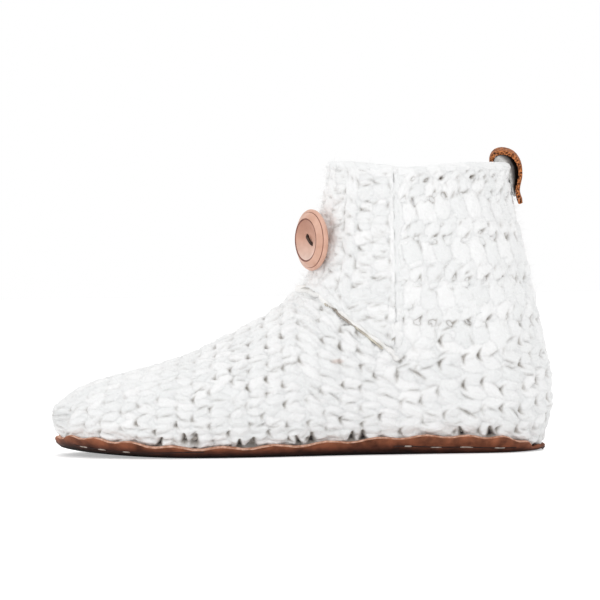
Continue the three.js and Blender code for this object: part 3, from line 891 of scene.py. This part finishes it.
# Ridge over the seam where the flap grows out of the shaft
ridgeSet = {
    "x": 47.2, "half": 3.5, "low": 53.0, "top": 139.0, "sink": 1.85, "halfWide": 2.8, "halfDeep": 1.9,
    "pitch": 9.5, "softHalf": 3.4, "softSink": 0.3,
}
ridgeLine = []
for z in np.linspace(ridgeSet["low"], ridgeSet["top"], 30):
    pair = [touchSide(ridgeSet["x"] + step, z) for step in (-ridgeSet["half"], ridgeSet["half"])]
    normal = (pair[0][1] + pair[1][1]).normalized()
    ridgeLine.append(((pair[0][0] + pair[1][0]) / 2 - normal * ridgeSet["sink"] * mm, normal))
centres, ups = zip(*ridgeLine)
layRope("seam_ridge", centres, ups, ridgeSet)
places = np.array(centres) + np.array(ups) * (ridgeSet["sink"] - ridgeSet["softSink"]) * mm
softRope(places, ups, ridgeSet["pitch"], ridgeSet["softHalf"])

# Pinch: petals that meet at one point under the flap's corner
petals = []
for degrees, length in pinchSet["petals"]:
    turn = math.radians(degrees)
    rows = []
    for share, rise, wide in pinchSet["shape"]:
        far = pinchSet["start"] + share * length
        spot, normal = touchSide(pinchSet["x"] + far * math.cos(turn), pinchSet["z"] + far * math.sin(turn))
        rows.append([*spot, *normal, rise * mm, pinchSet["halfWide"] * wide * mm])
    table = throughPoints(rows, yarnSet["rings"])
    petals.append((table[:, :3], unit(table[:, 3:6]), table[:, 6], table[:, 7]))
plotted.append((petals, []))
print("rolled edges ready")


# Collar: bound edge round the whole opening, doubled where the flap lies over the shaft
collarSet = {
    "under": 1.9, "halfWide": 2.4, "halfDeep": 2.2, "inset": 2.3, "pitch": 7.0, "softHalf": 3.0,
    "softDrop": 0.8, "guess": 138, "rimClear": 4.5, "lap": 4.5, "lapStart": (43, -37), "lapEnd": (10, 15),
}


def collarLine(turns, inset):
    centres = []
    for turn in turns:
        spot = fromAxis(turn, collarSet["guess"])
        for _ in range(3):
            spot = fromAxis(turn, collarTop(spot.x / mm) - collarSet["rimClear"])
        top = collarTop(spot.x / mm) - collarSet["under"]
        centres.append(Vector((spot.x, spot.y, top * mm)) - heading(turn) * inset * mm)
    return centres


def collarRope(name, turns, inset, sway):
    layRope(name, collarLine(turns, inset), [(0, 0, 1)] * len(turns), collarSet, sway)


around = np.linspace(0, 2 * math.pi, 121)
collarRope("collar_edge", around, collarSet["inset"], 1.0)
rim = np.array(collarLine(around, 0.0)) - np.array([0, 0, collarSet["softDrop"] * mm])
ups = [(math.cos(turn), math.sin(turn), 0.0) for turn in around]
softRope(rim, ups, collarSet["pitch"], collarSet["softHalf"], 1.0)
lapTurns = np.linspace(bearing(*collarSet["lapStart"]) + 2 * math.pi, bearing(*collarSet["lapEnd"]), 40)
collarRope("collar_lap_edge", lapTurns, collarSet["inset"] + collarSet["lap"], 0.5)

# Inside of the shaft, seen through the collar: flattened strands, their half depth limited, mm
liningSet = {
    "low": 62.0, "rowHigh": 11.0, "stitch": 8.5, "raised": 1.4, "rimClear": (4, 4.5), "flatness": 0.78,
    "deepest": 2.2, "middle": (0.06, 0, 0.1),
}
liningRim = collarTop(shaftAxis)
liningRows = round((liningRim - liningSet["rimClear"][0] - liningSet["low"]) / liningSet["rowHigh"])
liningLines = []
for share in np.linspace(0, 1, liningRows * 4 + 1):
    z = liningSet["low"] + share * (liningRim - liningSet["rimClear"][1] - liningSet["low"])
    axis = Vector((shaftAxis, sideShift, z)) * mm
    turns = np.linspace(-math.pi, math.pi, 97)
    liningLines.append([inside.ray_cast(axis, heading(turn))[0] for turn in turns])
rows = evenRows(liningLines, liningRows, liningSet["stitch"], 0.5, "leaf")
strands, _ = plotStitches(surfaceGrid(liningLines, liningSet["middle"], -1), rows, None, liningSet["raised"])
spots, ups, rises, halves = [np.array(part) for part in zip(*strands)]
deeps = np.minimum(halves * liningSet["flatness"], liningSet["deepest"] * mm)
yarnObject("lining_stitches", spots + ups * (rises - deeps)[..., None], ups, halves, deeps, fuzzy=False)
print("collar ready")


# Backing: the solids' own form with its outer face let in under the stitches
backingSet = {"letIn": 4.0}
spine = [Vector(spot) * mm for spot in ((-105, 5, 20), (0, 0, 28), (60, 0, 45), (60, 0, 150))]


def nearestOnSpine(place):
    best = None
    for a, b in zip(spine, spine[1:]):
        run = b - a
        share = min(max((place - a).dot(run) / run.length_squared, 0), 1)
        spot = a + run * share
        if best is None or (place - spot).length < (place - best).length:
            best = spot
    return best


def mergedCopy(node):  # a solid's own form with its loose triangles joined
    bm = bmesh.new()
    bm.from_mesh(nodes[node].data)
    bmesh.ops.remove_doubles(bm, verts=bm.verts, dist=0.01 * mm)
    bm.normal_update()
    return bm


def meshFrom(bm, name):
    mesh = bpy.data.meshes.new(name)
    bm.to_mesh(mesh)
    bm.free()
    return mesh


def modified(piece):  # its mesh with the modifiers in
    bpy.context.view_layer.update()
    return bpy.data.meshes.new_from_object(piece.evaluated_get(bpy.context.evaluated_depsgraph_get()))


def softenEdges(bm, angle, size, segments):
    sharp = [e for e in bm.edges if e.is_manifold and e.calc_face_angle() > angle]
    bmesh.ops.bevel(bm, geom=sharp, offset=size * mm, affect="EDGES", segments=segments,
                    profile=0.5, material=-1)
    bm.normal_update()


for name, node in (("upper_backing", "upper"), ("flap_backing", "front_flap")):
    bm = mergedCopy(node)
    outer = [v for v in bm.verts if v.normal.dot(v.co - nearestOnSpine(v.co)) > 0]
    for v, place in [(v, v.co - v.normal * backingSet["letIn"] * mm) for v in outer]:
        v.co = place
    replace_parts(newPiece(name, meshFrom(bm, name), "wool", backing), node)
print("backing ready")


# Wool skin: a fine even copy of the solids' outer face, raised by all the strands in a soft union and cut
# by the creases. Reaches are shares of a strand's or a crease's half width
skinSet = {
    "voxel": 0.7, "floor": -1.7, "blend": 2.8, "deep": 1.7, "roundShare": 0.5, "roundMost": 0.98,
    "nap": 0.08, "bottom": 2.6, "lift": 0.2, "reach": 1.2, "creaseReach": 2.2,
    # Crease depths, mm: where the painted grey shade is full, and where the painted near-black shade starts
    # and how fast it comes
    "ripples": [(7.0, 0.22), (2.4, 0.09)], "greyAt": 1.9, "gapFrom": 2.4, "gapRun": 1.0,
}
calmSet = {"x": (-35, -75), "up": (0.2, 0.65), "rise": -0.5, "share": 0.75}  # the toe's top is worn smooth
# Places where the wool stands off the leather, mm on the outer side, repeated on the inner side; cut deep
# enough that the painted shade turns them near black
gapSet = {
    "below": 3.0, "above": 1.4, "lean": 0.8, "halfWide": (2.0, 0.8), "deep": (3.8, 2.6), "sizes": (0.7, 1.1),
    "spots": [
        (-69.8, 8.5), (-57.8, 10.8), (-52.3, 10.2), (-30.8, 7.4), (-24.3, 7.8), (-2.3, 8.5), (4.8, 9.4),
        (24.3, 10.2), (29.8, 10.1), (77.8, 11.4), (92.3, 11.2),
    ],
}
# Main creases of the outer side, mm along and up: the pinch, the fold below it, two pulled stitches
foldSet = {
    "halfWide": 0.65, "deep": 2.0, "ends": 0.4,
    "lines": [
        [(43.8, 49.4), (46.3, 46.9), (48.3, 46.3), (50.8, 48.5)], [(46.8, 43.2), (46.9, 39.5), (46.7, 35.9)],
        [(52.8, 42.3), (56.8, 40.2), (60.8, 37.2)], [(76.3, 22.9), (80.5, 20.8), (85.2, 17.8)],
    ],
}
allStrands = [strand for strands, creases in plotted for strand in strands]
allCreases = [crease for strands, creases in plotted for crease in creases]
for side in (-1, 1):
    for x, z in gapSet["spots"]:
        lean = gapSet["lean"] * dice.uniform(-1, 1)
        low, _ = touchSide(x - lean, z - gapSet["below"], side)
        high, _ = touchSide(x + lean, z + gapSet["above"], side)
        halves = np.array(gapSet["halfWide"]) * dice.uniform(*gapSet["sizes"]) * mm
        allCreases.append((np.array([low, high]), halves, np.array(gapSet["deep"]) * mm))
for fold in foldSet["lines"]:
    line = np.array([touchSide(x, z)[0] for x, z in fold])
    depth = np.full(len(line), foldSet["deep"] * mm)
    depth[[0, -1]] *= foldSet["ends"]
    allCreases.append((line, np.full(len(line), foldSet["halfWide"] * mm), depth))


def nearest(places, line, widths):  # closest place on a line for each point, weighed by the line's width
    run = np.diff(line, axis=0)
    offset = places[:, None] - line[:-1]
    share = np.clip(np.sum(offset * run, axis=2) / np.maximum(np.sum(run * run, axis=1), 1e-12), 0, 1)
    wide = widths[:-1] * (1 - share) + widths[1:] * share
    far = np.linalg.norm(offset - run * share[..., None], axis=2) / wide
    best = np.argmin(far, axis=1)
    row = np.arange(len(places))
    return far[row, best], best, share[row, best]


def boxAround(places, order, sortedX, line, reach):
    low, high = line.min(axis=0) - reach, line.max(axis=0) + reach
    span = order[np.searchsorted(sortedX, low[0]):np.searchsorted(sortedX, high[0])]
    near = places[span]
    return span[np.all((near[:, 1:] > low[1:]) & (near[:, 1:] < high[1:]), axis=1)]


def ripple(places, size):  # gentle unevenness of a real size (mm), from a few waves
    waves = unit(dice.normal(0, 1, (24, 3))) * 2 * math.pi / (size * mm)
    return np.sum(np.sin(places @ waves.T + dice.uniform(0, 2 * math.pi, 24)), axis=1) / math.sqrt(12)


def raiseSkin(places, normals, fills):
    count = len(places)
    order = np.argsort(places[:, 0])
    sortedX = places[order, 0]
    total = np.full(count, math.exp(skinSet["blend"] * skinSet["floor"]))
    top = np.full(count, skinSet["floor"])
    yarn = np.zeros((count, 3))
    for spot, normal, rise, half in allStrands:
        span = boxAround(places, order, sortedX, spot, half.max() * skinSet["reach"])
        if not len(span):
            continue
        off, best, share = nearest(places[span], spot, half)
        span, best, share, off = [values[off < skinSet["reach"]] for values in (span, best, share, off)]
        here = (rise[best] * (1 - share) + rise[best + 1] * share) / mm
        dome = 1 - np.sqrt(1 - np.minimum(off, skinSet["roundMost"]) ** 2)
        fall = skinSet["roundShare"] * dome + (1 - skinSet["roundShare"]) * off ** 2
        high = here - skinSet["deep"] * fall
        total[span] += np.exp(skinSet["blend"] * high)
        steps = np.linalg.norm(np.diff(spot, axis=0), axis=1) / mm
        far = np.concatenate([[0], np.cumsum(steps)])
        across = np.cross(np.gradient(spot, axis=0), normal)[best]
        sign = np.sign(np.sum((places[span] - spot[best]) * across, axis=1))
        leads = high > top[span]
        lead = span[leads]
        top[lead] = high[leads]
        yarn[lead, 0] = (far[best] + share * steps[best])[leads]
        yarn[lead, 1] = (off * sign)[leads]
        yarn[lead, 2] = dice.random()
    height = np.log(total) / skinSet["blend"]
    pit = np.zeros(count)
    for spot, half, deep in allCreases:
        span = boxAround(places, order, sortedX, spot, half.max() * skinSet["creaseReach"])
        if not len(span):
            continue
        off, best, share = nearest(places[span], spot, half)
        here = (deep[best] * (1 - share) + deep[best + 1] * share) / mm
        pit[span] = np.maximum(pit[span], here * np.exp(-off ** 2))
    calm = calmSet["share"] * fade(places[:, 0] / mm, *calmSet["x"]) * fade(normals[:, 2], *calmSet["up"])
    pit = pit * (1 - calm)
    height = height * (1 - calm) + calmSet["rise"] * calm + skinSet["lift"]
    if fills:
        height = height + hollowFill(*(places / mm).T)
    for size, deep in skinSet["ripples"]:
        height = height + deep * ripple(places, size)
    return height - pit, yarn, pit


def vertexTable(mesh, field):
    values = np.empty(len(mesh.vertices) * 3)
    mesh.vertices.foreach_get(field, values)
    return values.reshape(-1, 3)


def woolSkin(node, *parts):  # one skin, in halves where it is too fine for one piece
    source = newObject(node + "_source", meshFrom(mergedCopy(node), node + "_source"))
    even = source.modifiers.new("even", "REMESH")
    even.mode = "VOXEL"
    even.voxel_size = skinSet["voxel"] * mm
    bm = bmesh.new()
    bm.from_mesh(modified(source))
    bpy.data.objects.remove(source)
    for _ in range(3):
        bmesh.ops.smooth_vert(bm, verts=bm.verts, factor=0.5, use_axis_x=True, use_axis_y=True,
                              use_axis_z=True)
    bm.normal_update()
    hidden = []
    for face in bm.faces:
        middle = face.calc_center_median()
        low = middle.z / mm < bottomEdge(middle.x / mm) - skinSet["bottom"]
        if low or face.normal.dot(middle - nearestOnSpine(middle)) < 0:
            hidden.append(face)
    bmesh.ops.delete(bm, geom=hidden, context="FACES")
    bm.normal_update()
    mesh = meshFrom(bm, node + "_skin")
    places = vertexTable(mesh, "co")
    normals = vertexTable(mesh, "normal")
    height, yarn, pit = raiseSkin(places, normals, node == "upper")
    nap = dice.normal(0, skinSet["nap"], len(places))
    raised = places + normals * ((height + nap) * mm)[:, None]
    mesh.vertices.foreach_set("co", raised.ravel())
    mesh.update()
    # Shares of painted shade for the wool's colour: grey with the creases' depth, near black past the
    # deepest
    gap = np.clip((pit - skinSet["gapFrom"]) / skinSet["gapRun"], 0, 1)
    hollow = np.clip(pit / skinSet["greyAt"], 0, 1) + gap
    fuzzPlaces.append((raised, normals, unit(dice.normal(0, 1, places.shape))))
    shading = vertexTable(mesh, "normal")
    quads = np.array([p.vertices[:] for p in mesh.polygons])
    inner = raised[quads].mean(axis=1)[:, 1] > 0
    for part, chosen in zip(parts, (quads,) if len(parts) == 1 else (quads[~inner], quads[inner])):
        used, corners = np.unique(chosen, return_inverse=True)
        half = bpy.data.meshes.new(part)
        half.from_pydata(raised[used].tolist(), [], corners.reshape(-1, 4).tolist())
        setYarn(half, yarn[used], hollow[used])
        newPiece(part, half, "wool", wool)
        half.normals_split_custom_set_from_vertices(shading[used].tolist())
        print(part, len(chosen), "faces")
    bpy.data.meshes.remove(mesh)


woolSkin("upper", "upper_wool_outer", "upper_wool_inner")
woolSkin("front_flap", "flap_wool")
print("wool raised")


# Loose fibres that stand off the yarn, none near the floor and none where the loop rubs them off
fuzzSet = {
    "count": 30000, "long": (1.4, 4.2), "wide": 0.09, "lift": 0.55, "bend": 2.2, "stray": 0.45, "taper": 0.6,
    "segments": 3, "root": 0.15, "above": 14, "loop": (98, 126),
}
count = fuzzSet["count"]
places, normals, along = [np.concatenate(group) for group in zip(*fuzzPlaces)]
loopX, loopZ = fuzzSet["loop"]
free = places[:, 2] > fuzzSet["above"] * mm
free &= (places[:, 0] < loopX * mm) | (places[:, 2] < loopZ * mm)
places, normals, along = places[free], normals[free], along[free]
pick = dice.integers(0, len(places), count)
out = normals[pick]
start = places[pick] - out * fuzzSet["root"] * mm
drift = unit(along[pick] * dice.normal(0, 1, (count, 1)) + dice.normal(0, fuzzSet["stray"], (count, 3)))
side = unit(np.cross(out, drift))
long = dice.uniform(*fuzzSet["long"], (count, 1)) * mm
points = []
for k in range(fuzzSet["segments"] + 1):
    share = k / fuzzSet["segments"]
    centre = start + out * long * fuzzSet["lift"] * math.sin(share * fuzzSet["bend"]) + drift * long * share
    half = side * fuzzSet["wide"] / 2 * mm * (1 - fuzzSet["taper"] * share)
    points += [centre - half, centre + half]
points = np.stack(points, axis=1)
faces = []
for k in range(fuzzSet["segments"]):
    quad = np.array([2 * k, 2 * k + 1, 2 * k + 3, 2 * k + 2])
    faces.append(np.arange(count)[:, None] * points.shape[1] + quad)
mesh = bpy.data.meshes.new("wool_fuzz")
mesh.from_pydata(points.reshape(-1, 3).tolist(), [], np.concatenate(faces).tolist())
newPiece("wool_fuzz", mesh, "wool", looseFibre)
print("loose fibres ready")


# Sole: the solid's own form, softened, its cut edge on top, with less painted shade at the heel
soleSet = {
    "bevel": 0.6, "sharp": 0.8, "rimFrom": 3.0, "rimUp": 0.3, "past": 0.5, "heelX": (45, 70), "heelLessShade": 0.2,
}
bm = mergedCopy("outsole")
bmesh.ops.join_triangles(bm, faces=bm.faces, angle_face_threshold=0.6, angle_shape_threshold=1.2)
softenEdges(bm, soleSet["sharp"], soleSet["bevel"], 2)
for face in bm.faces:
    middle = face.calc_center_median() / mm
    onRim = middle.z - springLift(middle.x) > soleSet["rimFrom"] and face.normal.z > soleSet["rimUp"]
    face.material_index = 1 if onRim else 0
soleMesh = meshFrom(bm, "sole_hide")
# Share up the edge for the hide's painted shade, lifted at the heel so that less shade is painted there
rises = []
for v in soleMesh.vertices:
    x, _, z = v.co / mm
    heel = soleSet["heelLessShade"] * fade(x, *soleSet["heelX"])
    rises.append((z - springLift(x)) / (leatherHigh(x) + soleSet["past"]) + heel)
setShares(soleMesh, "rise", rises)
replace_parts(newPiece("sole_hide", soleMesh, "sole_leather", hide, hideEdge), "outsole")

# Running stitch along the turned-up edge: its height, stitches and slits that show, mm
seamSet = {
    "thread": 0.46, "slit": 0.5, "slitSink": 0.15, "slitPitch": 8.0, "flat": 0.8,
    "dip": [0.9, 0.1, 0.0, 0.1, 0.9],
    "x": [-114, -108, -98.7, -86.5, -78, 44, 51.7, 65, 80.7, 96.7, 106],
    "z": [6.6, 5.5, 4.4, 3.4, 3.0, 4.4, 4.3, 3.6, 3.4, 2.6, 2.6],
    "stitches": [(-111.7, -104.7), (-102.7, -94.7), (-89.7, -83.2), (48.7, 54.7), (60.2, 70.7), (74.2, 87.2),
                 (92.2, 101.7)],
    "slits": [(-113, -48), (45, 105)],
}
leatherTree = searchTree("outsole")


def seamRun(first, last, side, count, sink):
    places, ups = [], []
    for x in np.linspace(first, last, count):
        z = float(np.interp(x, seamSet["x"], seamSet["z"]))
        spot, normal = touchSide(x, z, side, leatherTree)
        places.append(spot - normal * sink * mm)
        ups.append(normal)
    return np.array(places), np.array(ups)


threads, slits = [], []
dip = np.array(seamSet["dip"])[:, None] * mm
half = np.full(dip.shape, seamSet["thread"] * mm)
slitHalf = seamSet["slit"]
for side in (-1, 1):
    for first, last in seamSet["stitches"]:
        places, ups = seamRun(first, last, side, len(dip), 0.0)
        threads.append(np.concatenate([places - ups * dip, ups, half, half * seamSet["flat"]], axis=1))
    for first, last in seamSet["slits"]:
        stretch = seamRun(first, last, side, 41, seamSet["slitSink"])
        slits += ropeStrands(*stretch, seamSet["slitPitch"], slitHalf, slitHalf * seamSet["flat"], 0.0, 0.0)
layStrands("sole_thread", threads, material=linen, slot="sole_leather", fuzzy=False)
# The slits: near-black strands that paint the shade in the cut
layStrands("sole_slit_shade", slits, material=slitShade, slot="sole_leather", fuzzy=False)
print("sole ready")


# Button: turned profile with a ring round the dished face, two painted shade lines, two holes and a thread
buttonSet = {
    "holes": 1.1, "pitch": 6.0, "turn": -0.85, "steps": 72, "drill": 30,
    "profile": [(0, 0), (12.2, 0), (14.3, 0.6), (15.1, 1.5), (15.25, 2.2), (14.95, 2.75), (14.1, 3.05),
                (13.85, 3.1), (13.6, 3.4), (12.9, 4.05), (12.2, 4.62), (11.1, 5.3), (10.8, 5.5), (10.4, 5.6),
                (10.0, 5.3), (9.6, 5.05), (8.9, 4.76), (7.8, 4.33), (6.7, 3.89), (5.3, 3.47), (4.0, 3.19),
                (2.0, 2.9), (0, 2.8)],
    "shadeLines": [(13.5, 13.9, 2.8), (10.0, 10.75, 5.0)],  # inner and outer radius, from this height on
    "dish": (10, 2),  # radius, from this height on
    "thread": 0.55,
    "threadPath": [(-1.05, 1.8), (-1.03, 3.2), (-0.7, 3.65), (0, 3.7), (0.7, 3.65), (1.03, 3.2),
                   (1.05, 1.8)],
}
# The solid's flat back gives the button's facing, its corners give its place
areas = {}
for face in nodes["button"].data.polygons:
    way = tuple(round(part, 2) for part in face.normal)
    areas[way] = areas.get(way, 0) + face.area
facing = -Vector(max(areas, key=areas.get)).normalized()
level = Vector((0, 0, 1)).cross(facing).normalized()
upright = facing.cross(level)
axes = np.array([level, upright, facing])
corners = np.array([v.co for v in nodes["button"].data.vertices]) @ axes.T
low, high = corners.min(axis=0), corners.max(axis=0)
buttonPlace = Matrix((level, upright, facing)).transposed().to_4x4()
buttonPlace.translation = np.array([(low[0] + high[0]) / 2, (low[1] + high[1]) / 2, low[2]]) @ axes

bm = bmesh.new()
line = [bm.verts.new((r * mm, 0, z * mm)) for r, z in buttonSet["profile"]]
outline = line + [bm.edges.new(pair) for pair in zip(line, line[1:])]
bmesh.ops.spin(bm, geom=outline, cent=(0, 0, 0), axis=(0, 0, 1), angle=2 * math.pi, steps=buttonSet["steps"],
               use_merge=True)
bmesh.ops.remove_doubles(bm, verts=bm.verts, dist=0.005 * mm)
bmesh.ops.recalc_face_normals(bm, faces=bm.faces)
dishRadius, dishLow = buttonSet["dish"]
for face in bm.faces:
    x, y, z = face.calc_center_median() / mm
    radius = math.hypot(x, y)
    if any(inner < radius < outer and z > low for inner, outer, low in buttonSet["shadeLines"]):
        face.material_index = 1
    elif radius < dishRadius and z > dishLow:
        face.material_index = 2
disc = newPiece("button_wood", meshFrom(bm, "button_wood"), "wood", pearWood, ringShade, dishWoodLitAndShaded)
holeWay = Vector((math.sin(buttonSet["turn"]), math.cos(buttonSet["turn"]), 0)) * buttonSet["pitch"] / 2 * mm
bm = bmesh.new()
for sign in (-1, 1):
    drill = bmesh.ops.create_cone(bm, cap_ends=True, segments=16, radius1=buttonSet["holes"] * mm,
                                  radius2=buttonSet["holes"] * mm, depth=buttonSet["drill"] * mm)
    bmesh.ops.translate(bm, verts=drill["verts"], vec=holeWay * sign)
drills = newObject("drills", meshFrom(bm, "drills"))
cut = disc.modifiers.new("holes", "BOOLEAN")
cut.object = drills
cut.operation = "DIFFERENCE"
drilled = modified(disc)
disc.modifiers.clear()
# Share down the dish, read by its painted light and shade
setShares(drilled, "rise", [0.5 - v.co.y / (2 * dishRadius * mm) for v in drilled.vertices])
drilled.transform(buttonPlace)
disc.data = drilled
bpy.data.objects.remove(drills)
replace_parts(disc, "button")

stitches = []
thick = buttonSet["thread"] * mm
for shift in (-0.5, 0.5):
    rows = []
    across = Vector((holeWay.y, -holeWay.x, 0)).normalized() * shift * buttonSet["thread"] * mm
    for share, z in buttonSet["threadPath"]:
        spot = buttonPlace @ (holeWay * share + across + Vector((0, 0, z * mm)))
        rows.append([*spot, *level, thick, thick])
    stitches.append(rows)
layStrands("button_thread", stitches, material=buttonCotton, slot="wood", fuzzy=False)
print("button ready")


# Pull loop: the solid's own form with rubbed edges, its inner side painted near black as shade
loopSet = {"bevel": 0.6, "sharp": 0.9, "heart": (103.0, 140.0), "shadeFacing": 0.5}
bm = mergedCopy("pull_loop")
bmesh.ops.dissolve_limit(bm, angle_limit=0.03, verts=bm.verts, edges=bm.edges)
softenEdges(bm, loopSet["sharp"], loopSet["bevel"], 3)
heart = Vector((loopSet["heart"][0] * mm, 0, loopSet["heart"][1] * mm))
for face in bm.faces:
    inwards = heart - face.calc_center_median()
    inwards.y = 0
    face.material_index = 1 if face.normal.dot(inwards.normalized()) > loopSet["shadeFacing"] else 0
loop = newPiece("loop_strap", meshFrom(bm, "loop_strap"), "tan_leather", strap, strapInnerShade)
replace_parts(loop, "pull_loop")

# Sheet of painted shade that closes the narrow gap to the collar: lines from the strip to the wool, mm
loopShadeSet = {
    "strip": [(97.4, 145.6), (99.3, 147.6), (102.4, 148.3), (106.4, 146.5), (108.9, 142.2), (109.2, 137.4),
              (108.0, 131.5), (107.6, 129.2), (107.8, 126.6)],
    "wool": [(97.6, 142.6), (99.2, 142.6), (101.0, 142.4), (102.8, 141.4), (103.8, 139.4), (104.5, 136.0),
             (105.4, 131.8), (106.2, 129.2), (107.5, 126.6)],
    # Shares that lighten the painted shade at the sheet's front end
    "lessShade": [0.7, 0.55, 0.25, 0.05, 0.0, 0.0, 0.0, 0.0, 0.0], "sides": (-6.6, 4.5), "steps": 5,
}
bm = bmesh.new()
shades, sheets = [], []
for y in loopShadeSet["sides"]:
    sheet = []
    for share in np.linspace(0, 1, loopShadeSet["steps"]):
        row = np.array(loopShadeSet["strip"]) * (1 - share) + np.array(loopShadeSet["wool"]) * share
        sheet.append([bm.verts.new((x * mm, y * mm, z * mm)) for x, z in row])
        shades += [share + lessShade for lessShade in loopShadeSet["lessShade"]]
    sheets.append(sheet)
    for low, high in zip(sheet, sheet[1:]):
        for k in range(len(low) - 1):
            bm.faces.new((low[k], low[k + 1], high[k + 1], high[k]))
for k in range(len(loopShadeSet["strip"]) - 1):
    for edge in (0, -1):
        first, second = sheets[0][edge], sheets[1][edge]
        bm.faces.new((first[k], second[k], second[k + 1], first[k + 1]))
bmesh.ops.recalc_face_normals(bm, faces=bm.faces)
loopShadeMesh = meshFrom(bm, "loop_shade_sheet")
setShares(loopShadeMesh, "rise", shades)
newPiece("loop_shade_sheet", loopShadeMesh, "tan_leather", loopShadeSheet)

# The insole's form stays, and gets its felt
nodes["insole"].data.materials.clear()
nodes["insole"].data.materials.append(felt)
print("loop and insole ready")


# Floor and studio light
floorSet = {"half": 6.0, "glow": 0.4}
bm = bmesh.new()
bmesh.ops.create_grid(bm, x_segments=1, y_segments=1, size=floorSet["half"])
paper, tree, shader = newMaterial("white paper sweep", Roughness=0.9)
shader.inputs["Base Color"].default_value = linear("#fbfbfb")
shader.inputs["Emission Color"].default_value = linear("#ffffff")
ray = addNode(tree, "LightPath")  # burnt out for the camera, yet it lights the slipper as plain paper does
glow = maths(tree, "MULTIPLY", ray.outputs["Is Camera Ray"], floorSet["glow"])
tree.links.new(glow, shader.inputs["Emission Strength"])
floorMesh = meshFrom(bm, "floor")
floorMesh.materials.append(paper)
newObject("floor", floorMesh)

lightSet = {
    "key": {"place": (-1.0, -1.0, 0.35), "size": 1.0, "power": 3.0},
    "fill": {"place": (1.2, -1.4, 0.6), "size": 1.4, "power": 1.5},
    "back": {"place": (0.0, 1.2, 1.6), "size": 1.6, "power": 4.5},
}
lightAim = Vector((0, 0, 0.06))
for name, light in lightSet.items():
    lamp = newObject(name, bpy.data.lights.new(name, "AREA"))
    lamp.data.size = light["size"]
    lamp.data.energy = light["power"]
    lamp.location = light["place"]
    lamp.rotation_euler = (lightAim - lamp.location).to_track_quat("-Z", "Y").to_euler()
worldSet = {"light": 0.96, "seen": 1.0}  # softer as light than as white background
world = bpy.data.worlds.new("studio")
scene.world = world
world.use_nodes = True
tree = world.node_tree
sky = tree.nodes["Background"]
sky.inputs["Color"].default_value = (1, 1, 1, 1)
seen = addNode(tree, "LightPath").outputs["Is Camera Ray"]
strength = addNode(tree, "Mix", {0: seen, 2: worldSet["light"], 3: worldSet["seen"]})
tree.links.new(strength.outputs[0], sky.inputs["Strength"])
scene.view_settings.view_transform = "Standard"
print("studio ready")

bpy.context.view_layer.update()
